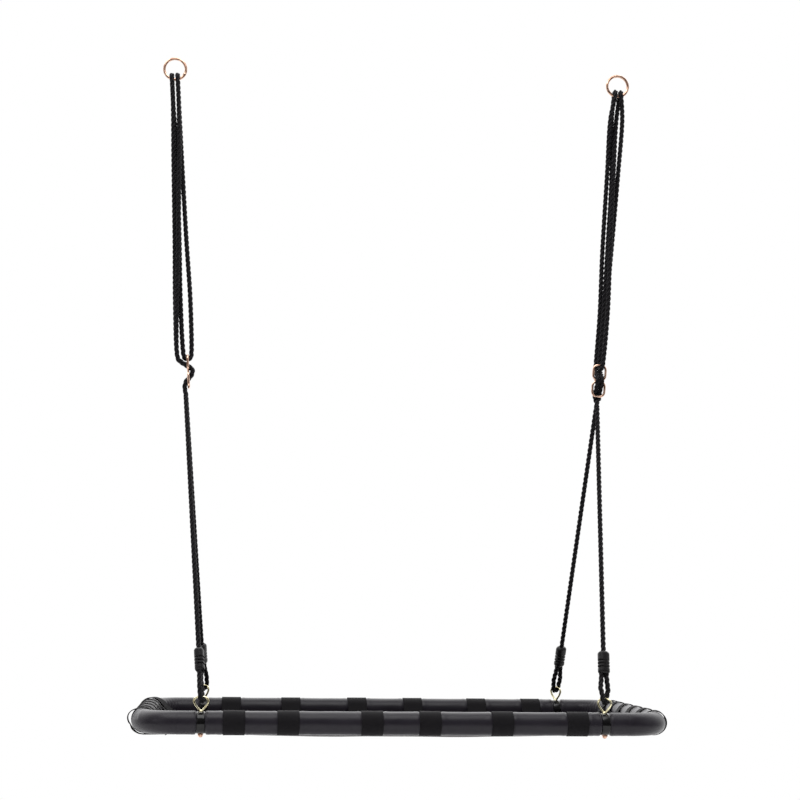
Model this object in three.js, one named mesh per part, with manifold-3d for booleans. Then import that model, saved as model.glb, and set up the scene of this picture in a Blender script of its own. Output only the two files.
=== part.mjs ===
// A platform swing: a padded steel frame with a sagging mat, hung from two rings on two ropes.
// Millimetres, +Z up. X runs along the long side of the seat and -Y is its front.
// The origin lies midway between the two rings, at the height where each one rests on its hook.
import * as THREE from "three";
import { mergeVertices } from "three/addons/utils/BufferGeometryUtils.js";
import Module from "manifold-3d";

const wasm = await Module();
wasm.setup();

// ---- Driving dimensions -------------------------------------------------------------------

const gap = 0.3; // air between pieces that touch

// Hanging rings
const ringRadius = 26.5; // to the middle of the wire
const ringWire = 3.5; // radius of the wire
const ringX = 557; // each ring's distance from the middle
const ringCentreZ = ringWire - ringRadius; // the hook's seat, inside the top of the ring, is at 0
const ringFootZ = ringCentreZ - ringRadius; // the wire that the rope lies over

// Seat frame
const seatZ = -1600; // height of the frame tubes' centrelines
const railY = 300; // a long tube's distance from the middle
const bowX = 584; // an end tube's distance from the middle
const bendRadius = 76; // of the corners, to the centreline
const tubeRadius = 16;
const tubeBore = 14.5;
const spigotRadius = 14;
const spigotBore = 12.5;
const spigotLength = 78; // how far a bow reaches into a rail
const collarRadius = 14.9; // of the plug that joins a bow's wall to its spigot
const foamRadius = 26;
const foamBore = tubeRadius + 0.7;
const jointX = bowX - bendRadius; // where a rail meets a bow
const bendY = railY - bendRadius; // where a bow starts to turn

// Rope brackets
const bracketX = 454;
const boltRadius = 4;
const boltHole = 4.5;
const softHole = 4.8; // the same hole through the foam and the band
const cutReach = 40; // half the length of a cutter that passes right through a tube
const grooveRadius = 21.2; // the foam pressed in under a saddle band
const grooveFlat = 10; // half the width of the pressed band of foam
const grooveEdge = 17; // half its width where it is full size again
const bandInner = grooveRadius + gap;
const bandOuter = bandInner + 1.5;
const bandWidth = 18;
const nutTop = -(bandOuter + gap);
const nutHeight = 9;
const nutRadius = 6.8;
const eyeWire = 2.5; // radius of the pear eye's wire
const eyeTop = 56.5; // height of the eye's top above the tube's centreline
const eyeFoot = 24;

// Rope
const ropeRadius = 5.3;
const adjusterX = 507;
const adjusterDrop = 728; // from the ring's foot to the adjuster's middle
const adjusterWire = 3.1;
const loopHalfWidth = 15.2;
const loopHeight = 38;
const loopOffset = 1.4; // half the distance between the two loops' shared wires
const strandExit = 66; // below the adjuster's middle, where a strand runs off to its corner

// Air between the rope and the wire that it turns round, measured to the rope's faceted sides
const ringSlack = 1.5;
const bightSlack = 0.7;
const eyeSlack = 1.2;

// Clamp sleeves
const sleeveLength = 54;
const sleeveFoot = 60; // from the eye's top to the sleeve's lower end
const sleeveLong = 13.5; // half of the long side of its oval section
const sleeveShort = 11;
const legOffset = 5.9; // of each rope leg from the sleeve's axis
const socketDepth = 22;
const socketRadius = ropeRadius + gap;

// Mat
const matHalfLength = 545;
const matHalfWidth = 262;
const matThickness = 3;
const matEdgeZ = -18; // the mat's edge, from the tubes' centrelines
const matSag = 34;
const matTaperX = 440; // beyond this the sag runs out towards the ends

// Webbing tabs, six along each rail
const tabWidth = 48;
const tabThickness = 1.5;
const tabSlack = 0.7; // between a tab's tails and the mat
const tabTailEnd = 62; // from the rail's centreline to the end of the sewn tails
const frontTabX = [-381, -261, -74, 56, 219, 390];
const rearTabX = [-384, -233, -64, 79, 244, 385];

// Lacing straps round the bows
const strapWidth = 25;
const strapThickness = 2;
const strapRadius = foamRadius + 2.5 + strapThickness / 2; // at its bends, so its flats clear the foam
const strapTipRadius = 5; // of the turn through the mat's slot
const strapTipOffset = 52; // from the bow's centreline to the middle of that turn
const strapPitch = 97;
const strapTurns = 5.5;
const strapShift = -16; // how far the lacing sits off the middle of its bow
const slotWidth = 11;
const slotLength = 38;

// ---- Materials ----------------------------------------------------------------------------

const paint = (color, roughness, metalness) => {
  return new THREE.MeshStandardMaterial({ color, roughness, metalness });
};
const copperPlate = paint("#d9a58a", 0.28, 1);
const yellowZinc = paint("#d8cf9a", 0.32, 1);
const brass = paint("#c08a60", 0.3, 1);
const steel = paint("#8c8f93", 0.45, 1);
const blackRope = paint("#17151a", 0.85, 0);
const blackPlastic = paint("#201e22", 0.5, 0);
const charcoalFoam = paint("#333035", 0.55, 0);
const blackWebbing = paint("#1a181b", 0.8, 0);
const blackMesh = paint("#1d1c20", 0.75, 0);

// ---- Geometry helpers ---------------------------------------------------------------------

// A route whose steps fall exactly on the points it is given.
class Route extends THREE.Curve {
  constructor(points, tangents = null) {
    super();
    this.points = points;
    this.tangents = tangents;
  }
  getPoint(t, target = new THREE.Vector3()) {
    const last = this.points.length - 1;
    const i = Math.min(Math.floor(t * last + 1e-6), last);
    const next = this.points[Math.min(i + 1, last)];
    return target.copy(this.points[i]).lerp(next, Math.max(t * last - i, 0));
  }
  getPointAt(u, target) {
    return this.getPoint(u, target);
  }
  getTangent(t, target = new THREE.Vector3()) {
    const last = this.points.length - 1;
    const i = Math.round(t * last);
    if (this.tangents) return target.copy(this.tangents[i]);
    const before = this.points[Math.max(i - 1, 0)];
    const after = this.points[Math.min(i + 1, last)];
    return target.copy(after).sub(before).normalize();
  }
  getTangentAt(u, target) {
    return this.getTangent(u, target);
  }
}

// A flat strap's route, which states which way the strap's face looks at each point.
class StrapRoute extends Route {
  constructor(points, faces) {
    super(points);
    this.faces = faces;
  }
  computeFrenetFrames(segments) {
    const frames = { tangents: [], normals: [], binormals: [] };
    for (let i = 0; i <= segments; i++) {
      const tangent = this.getTangent(i / segments);
      const side = new THREE.Vector3().crossVectors(tangent, this.faces[i]).normalize();
      frames.tangents.push(tangent);
      frames.binormals.push(side);
      frames.normals.push(new THREE.Vector3().crossVectors(side, tangent));
    }
    return frames;
  }
}

// The point on a circle about the origin, at an angle in radians.
function onCircle(radius, angle) {
  return new THREE.Vector2(radius * Math.cos(angle), radius * Math.sin(angle));
}

// A round outline, with a bore if one is given.
function roundShape(radius, sides, bore = 0) {
  const corners = (r) => Array.from({ length: sides }, (_, i) => onCircle(r, (2 * Math.PI * i) / sides));
  const shape = new THREE.Shape(corners(radius));
  if (bore) shape.holes.push(new THREE.Path(corners(bore)));
  return shape;
}

function sweep(shape, route, steps) {
  return new THREE.ExtrudeGeometry(shape, { steps, extrudePath: route, curveSegments: 8 });
}

function positionsOnly(geometry, tolerance = 1e-4) {
  const bare = geometry.clone();
  for (const name of Object.keys(bare.attributes)) {
    if (name !== "position") bare.deleteAttribute(name);
  }
  bare.clearGroups();
  const merged = mergeVertices(bare, tolerance);
  const index = Array.from(merged.index.array);
  const kept = [];
  for (let i = 0; i < index.length; i += 3) {
    const corners = new Set(index.slice(i, i + 3));
    if (corners.size === 3) kept.push(...index.slice(i, i + 3));
  }
  return merged.setIndex(kept);
}

// Turns every face over if a closed geometry is inside out.
function facingOut(geometry) {
  const p = geometry.attributes.position;
  const index = geometry.index.array;
  const [a, b, c] = [new THREE.Vector3(), new THREE.Vector3(), new THREE.Vector3()];
  let volume = 0;
  for (let i = 0; i < index.length; i += 3) {
    a.fromBufferAttribute(p, index[i]);
    b.fromBufferAttribute(p, index[i + 1]);
    c.fromBufferAttribute(p, index[i + 2]);
    volume += a.dot(b.cross(c));
  }
  if (volume < 0) {
    for (let i = 0; i < index.length; i += 3) {
      [index[i + 1], index[i + 2]] = [index[i + 2], index[i + 1]];
    }
  }
  return geometry;
}

function toSolid(geometry) {
  const closed = facingOut(positionsOnly(geometry));
  const vertProperties = new Float32Array(closed.attributes.position.array);
  const triVerts = new Uint32Array(closed.index.array);
  return new wasm.Manifold(new wasm.Mesh({ numProp: 3, vertProperties, triVerts }));
}

function toGeometry(solid) {
  const mesh = solid.getMesh();
  const positions = new THREE.BufferAttribute(new Float32Array(mesh.vertProperties), 3);
  const geometry = new THREE.BufferGeometry().setAttribute("position", positions);
  return geometry.setIndex(new THREE.BufferAttribute(new Uint32Array(mesh.triVerts), 1));
}

// One piece joined from several geometries, with others cut away.
function combine(parts, cuts = []) {
  let solid = parts.map(toSolid).reduce((sum, part) => sum.add(part));
  for (const cut of cuts) solid = solid.subtract(toSolid(cut));
  return toGeometry(solid);
}

// A closed ring of wire: the sides of a sweep round a closed curve, without its two end caps.
function closedWire(points, radius, sides, steps) {
  const curve = new THREE.CatmullRomCurve3(points, true, "centripetal");
  const swept = sweep(roundShape(radius, sides), curve, steps);
  const sideGroup = swept.groups.find((group) => group.materialIndex === 1);
  const position = swept.attributes.position.array;
  const start = sideGroup.start * 3;
  const kept = position.slice(start, start + sideGroup.count * 3);
  const open = new THREE.BufferGeometry();
  open.setAttribute("position", new THREE.BufferAttribute(kept, 3));
  return facingOut(positionsOnly(open, 0.05));
}

// A turned piece: its outline in (radius, height) closes on itself.
function turned(outline, segments) {
  const points = outline.map(([radius, height]) => new THREE.Vector2(radius, height));
  points.push(points[0].clone());
  return facingOut(positionsOnly(new THREE.LatheGeometry(points, segments)));
}

function uprightCylinder(radius, bottom, top, sides) {
  const cylinder = new THREE.CylinderGeometry(radius, radius, top - bottom, sides);
  cylinder.rotateX(Math.PI / 2);
  return cylinder.translate(0, 0, (top + bottom) / 2);
}

const root = new THREE.Group();
const up = new THREE.Vector3(0, 0, 1);

function piece(parent, name, geometry, material) {
  const mesh = new THREE.Mesh(geometry, material);
  mesh.name = name;
  parent.add(mesh);
  return mesh;
}

// ---- Rings and adjusters ------------------------------------------------------------------

const sides = [
  { name: "left", sign: -1 },
  { name: "right", sign: 1 },
];
const ringPieces = new THREE.Group();
root.add(ringPieces);
for (const side of sides) {
  const torus = new THREE.TorusGeometry(ringRadius, ringWire, 8, 26);
  const ring = piece(ringPieces, side.name + "_ring", torus, copperPlate);
  ring.position.set(side.sign * ringX, 0, ringCentreZ);
  ring.rotation.x = Math.PI / 2;
}

// One loop of the figure-of-eight adjuster, standing up from its waist, in the XZ plane.
function adjusterLoop(direction) {
  const w = loopHalfWidth;
  const h = loopHeight;
  const half = [
    [0, 0],
    [w * 0.62, h * 0.05],
    [w * 0.95, h * 0.22],
    [w, h * 0.5],
    [w * 0.95, h * 0.78],
    [w * 0.62, h * 0.95],
  ];
  const otherHalf = half.map(([x, z]) => [-x, h - z]);
  const outline = [...half, ...otherHalf];
  const lift = (z) => direction * (z + loopOffset);
  const points = outline.map(([x, z]) => new THREE.Vector3(x, 0, lift(z)));
  return closedWire(points, adjusterWire, 7, 22);
}

const adjusterGeometry = combine([adjusterLoop(1), adjusterLoop(-1)]);
const lean = Math.atan2(ringX - adjusterX, adjusterDrop); // of the rope above the adjuster

// The upper rope hangs in a group at the ring's foot that leans with it. The left adjuster has
// turned a quarter turn, so that its loops show edge-on, and the right one faces the front.
for (const side of sides) {
  side.frame = new THREE.Group();
  side.frame.position.set(side.sign * ringX, 0, ringFootZ);
  side.frame.rotation.y = side.sign * lean;
  side.turn = side.sign < 0 ? Math.PI / 2 : 0;
  root.add(side.frame);
  const adjuster = piece(side.frame, side.name + "_adjuster", adjusterGeometry, copperPlate);
  adjuster.position.z = -adjusterDrop / Math.cos(lean);
  adjuster.rotation.z = side.turn;
}
const adjusterZ = -adjusterDrop / Math.cos(lean); // in a side's leaning frame

// ---- Upper ropes --------------------------------------------------------------------------

// A strand's weave through the adjuster, from below: [across, behind, above the middle].
// It comes up behind the lower loop, over the waist in front, and out behind the upper loop.
function weave(across) {
  return [
    [across, 10, -42],
    [across, 9.2, -34],
    [across, 5.5, -24],
    [across, -4.5, -13],
    [across, -10.2, -3],
    [across, -9.6, 5],
    [across, 0, 12.7],
    [across, 12, 21],
    [across, 22, 30],
    [across, 25, 44],
  ];
}

// Over the ring's foot, from the front to the back, at a given distance along the wire.
function overRing(x) {
  const r = ropeRadius + ringWire + ringSlack;
  const rise = ringRadius - Math.sqrt(ringRadius ** 2 - x ** 2); // the wire curves up beside its foot
  const arc = [175, 140, 115, 90, 65, 40, 5];
  return arc.map((a) => {
    const turn = THREE.MathUtils.degToRad(a);
    return [x, r * Math.cos(turn), rise + r * Math.sin(turn)];
  });
}

// The bight round the adjuster's top, from the strand in front to the one behind.
function bight(front, back) {
  const r = ropeRadius + adjusterWire + bightSlack;
  const arc = [180, 218, 270, 322, 360];
  return arc.map((a, i) => {
    const turn = THREE.MathUtils.degToRad(a);
    const across = front + ((back - front) * i) / (arc.length - 1);
    return [across, r * Math.cos(turn), loopHeight + loopOffset + r * Math.sin(turn)];
  });
}

// Where each strand lies between ring and adjuster: [down the rope, x, y], ring to adjuster.
// exitA and exitB are where the two strands leave below it, and exitSpread parts them in depth.
const strands = {
  left: {
    ringA: 7,
    ringB: -7,
    acrossA: -5.3,
    acrossB: 5.3,
    exitA: -5.3,
    exitB: 5.3,
    exitSpread: 7,
    A: [[60, 7, -10], [200, 2, -13], [400, -9, -12], [560, -20, -8]],
    B: [[60, -7, -9], [200, -12, -2], [400, -18, 3], [560, -24, 5.5]],
    C: [[60, 7, 8], [200, 8, 5], [400, 10, 3], [560, 13, 3]],
    D: [[60, -7, 9], [200, -4, 11], [400, -7, 8], [560, -11, 5]],
  },
  right: {
    ringA: 7,
    ringB: -7,
    acrossA: 5.3,
    acrossB: -5.3,
    exitA: -1,
    exitB: 1,
    exitSpread: 12,
    A: [[60, 15, -5], [200, 15, 3], [400, 13, 15], [560, 9, 20]],
    B: [[60, -15, -5], [200, -13, 2], [400, -10, 13], [560, -5, 19]],
    C: [[60, 3, 9], [200, 1, -8], [400, 5, -9], [560, 9, -9]],
    D: [[60, -9, 8], [200, 0, 9], [400, 1, 5], [560, 2, 7]],
  },
};

// From the adjuster's own axes to the side's leaning frame.
function atAdjuster(side, [across, behind, above]) {
  const point = new THREE.Vector3(across, behind, above);
  point.applyAxisAngle(new THREE.Vector3(0, 0, 1), side.turn);
  return point.add(new THREE.Vector3(0, 0, adjusterZ));
}

// A strand's straight run, from where it leaves the adjuster to the top of its pear eye.
function strandRun(side, front) {
  const s = strands[side.name];
  const exit = atAdjuster(side, [front ? s.exitA : s.exitB, 8, -strandExit]);
  exit.y += front ? -s.exitSpread : s.exitSpread;
  side.frame.localToWorld(exit);
  const y = front ? -railY : railY;
  const top = new THREE.Vector3(side.sign * bracketX, y, seatZ + eyeTop);
  const along = exit.clone().sub(top).normalize(); // up the strand
  return { exit, top, along };
}

// The end of the upper rope, in line with the strand that runs on from it.
function ropeEnd(side, front) {
  const { exit, along } = strandRun(side, front);
  const points = [exit, exit.clone().addScaledVector(along, 12)];
  return points.map((point) => side.frame.worldToLocal(point));
}

function ropeControls(side) {
  const s = strands[side.name];
  const adj = (p) => atAdjuster(side, p);
  const hang = ([down, x, y]) => new THREE.Vector3(x, y, -down);
  const ringTurn = (x) => overRing(x).map((p) => new THREE.Vector3(...p));
  return [
    ...ropeEnd(side, true),
    ...weave(s.acrossA).map(adj),
    ...s.A.map(hang).reverse(),
    ...ringTurn(s.ringA),
    ...s.C.map(hang),
    ...bight(5, 1).map(adj),
    ...s.D.map(hang).reverse(),
    ...ringTurn(s.ringB).reverse(),
    ...s.B.map(hang),
    ...weave(s.acrossB).map(adj).reverse(),
    ...ropeEnd(side, false).reverse(),
  ];
}

root.updateMatrixWorld(true);
for (const side of sides) {
  const controls = ropeControls(side);
  const curve = new THREE.CatmullRomCurve3(controls, false, "centripetal");
  const points = [];
  const spans = controls.length - 1;
  for (let i = 0; i < spans; i++) {
    const length = controls[i].distanceTo(controls[i + 1]);
    const parts = length > 60 ? 2 : 1;
    for (let k = 0; k < parts; k++) points.push(curve.getPoint((i + k / parts) / spans));
  }
  points.push(controls[spans]);
  const rope = sweep(roundShape(ropeRadius, 8), new Route(points), points.length - 1);
  piece(side.frame, side.name + "_upper_rope", rope, blackRope);
}

// ---- Corners: strand, clamp sleeve, rope eye, eye bolt, saddle band and nut -----------------

// How far each pear eye and each oval sleeve has been turned about its own axis, in degrees.
const corners = [
  { name: "front_left", x: -1, y: -1, eyeTurn: -10, sleeveTurn: 80 },
  { name: "front_right", x: 1, y: -1, eyeTurn: -38, sleeveTurn: 10 },
  { name: "rear_left", x: -1, y: 1, eyeTurn: -45, sleeveTurn: 60 },
  { name: "rear_right", x: 1, y: 1, eyeTurn: -52, sleeveTurn: 30 },
];

function pearEye() {
  const half = [
    [0, eyeFoot],
    [7, 31],
    [13.2, 39],
    [16, 46],
    [14, 52.4],
    [8, 55.8],
  ];
  const rightSide = half.map(([x, z]) => new THREE.Vector3(x, 0, z));
  const leftSide = half.slice(1).map(([x, z]) => new THREE.Vector3(-x, 0, z));
  const top = new THREE.Vector3(0, 0, eyeTop);
  return closedWire([...rightSide, top, ...leftSide.reverse()], eyeWire, 6, 24);
}

const boltEnd = nutTop - nutHeight + 3;
const eyeBolt = combine([pearEye(), uprightCylinder(boltRadius, boltEnd, eyeFoot + 1, 10)]);

const nutOutline = [
  [0, nutTop - nutHeight],
  [4.2, nutTop - nutHeight + 1],
  [6, nutTop - nutHeight + 3],
  [nutRadius, nutTop - nutHeight + 4.5],
  [nutRadius, nutTop],
  [0, nutTop],
];
const nutPoints = nutOutline.map(([r, z]) => new THREE.Vector2(r, z));
const nutBody = new THREE.LatheGeometry(nutPoints, 12).rotateX(Math.PI / 2);
const domeNut = combine([nutBody], [uprightCylinder(boltHole, boltEnd - gap, nutTop + 1, 12)]);

const bandOutline = [
  [bandInner, -bandWidth / 2],
  [bandOuter, -bandWidth / 2],
  [bandOuter, bandWidth / 2],
  [bandInner, bandWidth / 2],
];
const bandRing = turned(bandOutline, 20).rotateZ(Math.PI / 2);
const saddleBand = combine([bandRing], [uprightCylinder(softHole, -cutReach, cutReach, 10)]);

// A moulded sleeve of oval section, with three grooves and sloped shoulders, on its own axis.
const sleeveProfile = [
  [0, 0],
  [0.72, 0],
  [0.95, 5],
  [1, 13],
  [0.84, 15],
  [1, 17],
  [1, 21],
  [0.84, 23],
  [1, 25],
  [1, 29],
  [0.84, 31],
  [1, 33],
  [0.97, sleeveLength - 5],
  [0.72, sleeveLength],
  [0, sleeveLength],
];
const sleeveBody = new THREE.LatheGeometry(
  sleeveProfile.map(([r, z]) => new THREE.Vector2(r * sleeveLong, z)),
  14,
);
sleeveBody.rotateX(Math.PI / 2).scale(1, sleeveShort / sleeveLong, 1);
const sleeveSockets = [
  uprightCylinder(socketRadius, sleeveLength - socketDepth, sleeveLength + 1, 10),
  uprightCylinder(socketRadius, -1, socketDepth, 10).translate(legOffset, 0, 0),
  uprightCylinder(socketRadius, -1, socketDepth, 10).translate(-legOffset, 0, 0),
];
const clampSleeve = combine([sleeveBody], sleeveSockets);

for (const corner of corners) {
  const side = sides[corner.x < 0 ? 0 : 1];
  const { exit, top, along } = strandRun(side, corner.y < 0);
  const eyeTurn = THREE.MathUtils.degToRad(corner.eyeTurn);
  const sleeveTurn = THREE.MathUtils.degToRad(corner.sleeveTurn);

  const bracket = new THREE.Group();
  bracket.position.set(corner.x * bracketX, corner.y * railY, seatZ);
  root.add(bracket);
  piece(bracket, corner.name + "_eye_bolt", eyeBolt, yellowZinc).rotation.z = eyeTurn;
  piece(bracket, corner.name + "_saddle_band", saddleBand, blackPlastic);
  piece(bracket, corner.name + "_dome_nut", domeNut, brass);

  // The sleeve stands on the strand's line.
  const holder = new THREE.Group();
  holder.position.copy(top).addScaledVector(along, sleeveFoot);
  holder.quaternion.setFromUnitVectors(up, along);
  root.add(holder);
  const sleeve = piece(holder, corner.name + "_clamp_sleeve", clampSleeve, blackPlastic);
  sleeve.rotation.z = sleeveTurn;

  // The eye: two legs out of the sleeve, joined by a turn under the pear eye's top.
  const sleeveAcross = new THREE.Vector3(Math.cos(sleeveTurn), Math.sin(sleeveTurn), 0);
  sleeveAcross.applyQuaternion(holder.quaternion);
  const through = new THREE.Vector3(-Math.sin(eyeTurn), Math.cos(eyeTurn), 0);
  if (sleeveAcross.dot(through) < 0) sleeveAcross.negate();
  through.addScaledVector(along, -through.dot(along)).normalize();
  const turnRadius = ropeRadius + eyeWire + eyeSlack;
  const leg = (sign) => {
    const at = (height, spread, mix) => {
      const across = sleeveAcross.clone().lerp(through, mix).normalize();
      const point = top.clone().addScaledVector(along, height);
      return point.addScaledVector(across, sign * spread);
    };
    return [
      at(sleeveFoot + socketDepth - 2, legOffset, 0),
      at(sleeveFoot + 6, legOffset, 0),
      at(sleeveFoot - 8, legOffset, 0.1),
      at(sleeveFoot - 24, 6.2, 0.5),
      at(22, 7.6, 0.9),
      at(8, turnRadius, 1),
    ];
  };
  const under = [20, 55, 90, 125, 160].map((degrees) => {
    const angle = THREE.MathUtils.degToRad(degrees);
    const point = top.clone().addScaledVector(through, turnRadius * Math.cos(angle));
    return point.addScaledVector(along, -turnRadius * Math.sin(angle));
  });
  const eyePoints = [...leg(1), ...under, ...leg(-1).reverse()];
  const eyeCurve = new THREE.CatmullRomCurve3(eyePoints, false, "centripetal");
  const eye = sweep(roundShape(ropeRadius, 8), new Route(eyeCurve.getPoints(22)), 22);
  piece(root, corner.name + "_rope_eye", eye, blackRope);

  // The straight strand, from the adjuster into the sleeve's upper socket.
  const start = exit.clone().addScaledVector(along, -2 * gap);
  const end = top.clone().addScaledVector(along, sleeveFoot + sleeveLength - socketDepth + 2);
  const strand = new THREE.LineCurve3(start, end);
  piece(root, corner.name + "_rope", sweep(roundShape(ropeRadius, 8), strand, 9), blackRope);
}

// ---- Seat frame ---------------------------------------------------------------------------

const seat = new THREE.Group();
seat.position.z = seatZ;
root.add(seat);

// A bow's centreline from its front end round to its rear end, at the right-hand side.
function bowPoint(distance) {
  const bend = (Math.abs(distance) - bendY) / bendRadius;
  if (bend <= 0) return new THREE.Vector3(bowX, distance, 0);
  const turn = Math.min(bend, Math.PI / 2);
  const y = Math.sign(distance) * (bendY + bendRadius * Math.sin(turn));
  return new THREE.Vector3(jointX + bendRadius * Math.cos(turn), y, 0);
}

// Horizontal, square to the bow and away from the middle of the seat.
function bowOutward(distance) {
  const bend = Math.max((Math.abs(distance) - bendY) / bendRadius, 0);
  return new THREE.Vector3(Math.cos(bend), Math.sign(distance) * Math.sin(bend), 0);
}

const bowHalf = bendY + (bendRadius * Math.PI) / 2; // along the centreline, to the joint
function bowRoute() {
  const bendSteps = 4;
  const distances = [];
  for (let i = 0; i <= bendSteps; i++) {
    distances.push(-bowHalf + gap / 2 + ((bowHalf - bendY) * i) / bendSteps);
  }
  distances.push(-75, 75);
  for (let i = bendSteps; i >= 0; i--) {
    distances.push(bowHalf - gap / 2 - ((bowHalf - bendY) * i) / bendSteps);
  }
  const tangents = distances.map((distance) => up.clone().cross(bowOutward(distance)));
  return new Route(distances.map(bowPoint), tangents);
}

function railTube() {
  const length = 2 * jointX - gap;
  const annulus = roundShape(tubeRadius, 12, tubeBore);
  const tube = new THREE.ExtrudeGeometry(annulus, { depth: length, bevelEnabled: false });
  tube.translate(0, 0, -length / 2).rotateY(Math.PI / 2);
  return combine([tube], boltHoles(boltHole));
}

function boltHoles(radius) {
  const hole = uprightCylinder(radius, -cutReach, cutReach, 10);
  return [-bracketX, bracketX].map((x) => hole.clone().translate(x, 0, 0));
}

function bowTube() {
  const route = bowRoute();
  const main = sweep(roundShape(tubeRadius, 12, tubeBore), route, route.points.length - 1);
  const parts = [main];
  const cuts = [];
  for (const y of [-railY, railY]) {
    const collar = new THREE.ExtrudeGeometry(roundShape(collarRadius, 12, spigotBore), {
      depth: 2.5,
      bevelEnabled: false,
    });
    collar.rotateY(Math.PI / 2).translate(jointX + gap / 2, y, 0);
    const spigot = new THREE.ExtrudeGeometry(roundShape(spigotRadius, 12, spigotBore), {
      depth: spigotLength + 4,
      bevelEnabled: false,
    });
    spigot.rotateY(Math.PI / 2).translate(jointX - spigotLength, y, 0);
    parts.push(collar, spigot);
    cuts.push(uprightCylinder(boltHole, -cutReach, cutReach, 10).translate(bracketX, y, 0));
  }
  return combine(parts, cuts);
}

function railFoam() {
  const end = jointX - gap;
  const outer = [[foamRadius, -end]];
  for (const x of [-bracketX, bracketX]) {
    outer.push([foamRadius, x - grooveEdge]);
    outer.push([grooveRadius, x - grooveFlat]);
    outer.push([grooveRadius, x + grooveFlat]);
    outer.push([foamRadius, x + grooveEdge]);
  }
  outer.push([foamRadius, end]);
  const outline = [...outer, [foamBore, end], [foamBore, -end]];
  return combine([turned(outline, 16).rotateZ(Math.PI / 2)], boltHoles(softHole));
}

function bowFoam() {
  const route = bowRoute();
  return sweep(roundShape(foamRadius, 16, foamBore), route, route.points.length - 1);
}

for (const [name, y] of [["front", -railY], ["rear", railY]]) {
  const rail = new THREE.Group();
  rail.position.y = y;
  seat.add(rail);
  piece(rail, name + "_rail", railTube(), steel);
  piece(rail, name + "_rail_foam", railFoam(), charcoalFoam);
}
for (const side of sides) {
  const bow = new THREE.Group();
  bow.rotation.z = side.sign < 0 ? Math.PI : 0;
  seat.add(bow);
  piece(bow, side.name + "_bow", bowTube(), steel);
  piece(bow, side.name + "_bow_foam", bowFoam(), charcoalFoam);
}

// ---- Mat ----------------------------------------------------------------------------------

function matHeight(x, y) {
  const past = Math.max(Math.abs(x) - matTaperX, 0) / (matHalfLength - matTaperX);
  const fade = 1 - THREE.MathUtils.smoothstep(past, 0, 1);
  return matEdgeZ - matSag * fade * (1 - (y / matHalfWidth) ** 2);
}

// Where the lacing passes through the mat, as distances along a bow from its middle.
const firstSlot = (-strapTurns * strapPitch) / 2 + strapShift;
const slotDistances = [];
for (let i = 0; i < strapTurns; i++) slotDistances.push(firstSlot + i * strapPitch);

function slotCutter(distance) {
  const reach = strapTipOffset + strapTipRadius - 1;
  const outward = bowOutward(distance);
  const place = bowPoint(distance).addScaledVector(outward, -reach);
  const box = new THREE.BoxGeometry(slotWidth, slotLength, 60);
  box.rotateZ(Math.atan2(outward.y, outward.x));
  return box.translate(place.x, place.y, matEdgeZ);
}

function matSheet() {
  const box = new THREE.BoxGeometry(2 * matHalfLength, 2 * matHalfWidth, matThickness, 20, 10, 1);
  const position = box.attributes.position;
  for (let i = 0; i < position.count; i++) {
    const lift = matHeight(position.getX(i), position.getY(i));
    position.setZ(i, position.getZ(i) + lift);
  }
  const cuts = slotDistances.map(slotCutter);
  const turnedCuts = slotDistances.map((distance) => slotCutter(distance).rotateZ(Math.PI));
  return combine([box], [...cuts, ...turnedCuts]);
}
piece(seat, "mat", matSheet(), blackMesh);

// ---- Tabs ---------------------------------------------------------------------------------

// The angle at which a line from a point outside a circle touches it.
function touchAngle(point, radius, direction) {
  const reach = Math.acos(radius / point.length());
  return Math.atan2(point.y, point.x) + direction * reach;
}

// A tab's outline across the rail: x points to the middle of the seat, y up.
function tabShape() {
  const steps = 12;
  const halfStep = (0.7 * Math.PI) / steps; // the flats between the arc's corners clear the foam
  const inner = (foamRadius + gap) / Math.cos(halfStep);
  const outer = inner + tabThickness;
  const edgeAt = railY - matHalfWidth;
  const edge = (offset) => new THREE.Vector2(edgeAt, matHeight(0, -matHalfWidth) + offset);
  const end = (offset) => new THREE.Vector2(tabTailEnd, matHeight(0, tabTailEnd - railY) + offset);
  const near = matThickness / 2 + tabSlack;
  const far = near + tabThickness;
  const arc = (radius, from, to) => {
    return Array.from({ length: steps + 1 }, (_, i) => onCircle(radius, from + ((to - from) * i) / steps));
  };
  const innerStart = touchAngle(edge(near), inner, 1);
  const innerEnd = touchAngle(edge(-near), inner, -1) + 2 * Math.PI;
  const outerStart = touchAngle(edge(far), outer, 1);
  const outerEnd = touchAngle(edge(-far), outer, -1) + 2 * Math.PI;
  return new THREE.Shape([
    end(far),
    edge(far),
    ...arc(outer, outerStart, outerEnd),
    edge(-far),
    end(-far),
    end(-near),
    edge(-near),
    ...arc(inner, innerEnd, innerStart),
    edge(near),
    end(near),
  ]);
}

const acrossRail = new THREE.Matrix4().makeBasis(
  new THREE.Vector3(0, 1, 0),
  new THREE.Vector3(0, 0, 1),
  new THREE.Vector3(1, 0, 0),
);
const tab = new THREE.ExtrudeGeometry(tabShape(), { depth: tabWidth, bevelEnabled: false });
tab.translate(0, 0, -tabWidth / 2).applyMatrix4(acrossRail);

for (const [name, y, places] of [["front", -railY, frontTabX], ["rear", railY, rearTabX]]) {
  places.forEach((x, i) => {
    const mesh = piece(seat, name + "_tab_" + (i + 1), tab, blackWebbing);
    mesh.position.set(x, y, 0);
    mesh.rotation.z = y > 0 ? Math.PI : 0;
  });
}

// ---- Lacing straps ------------------------------------------------------------------------

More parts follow.
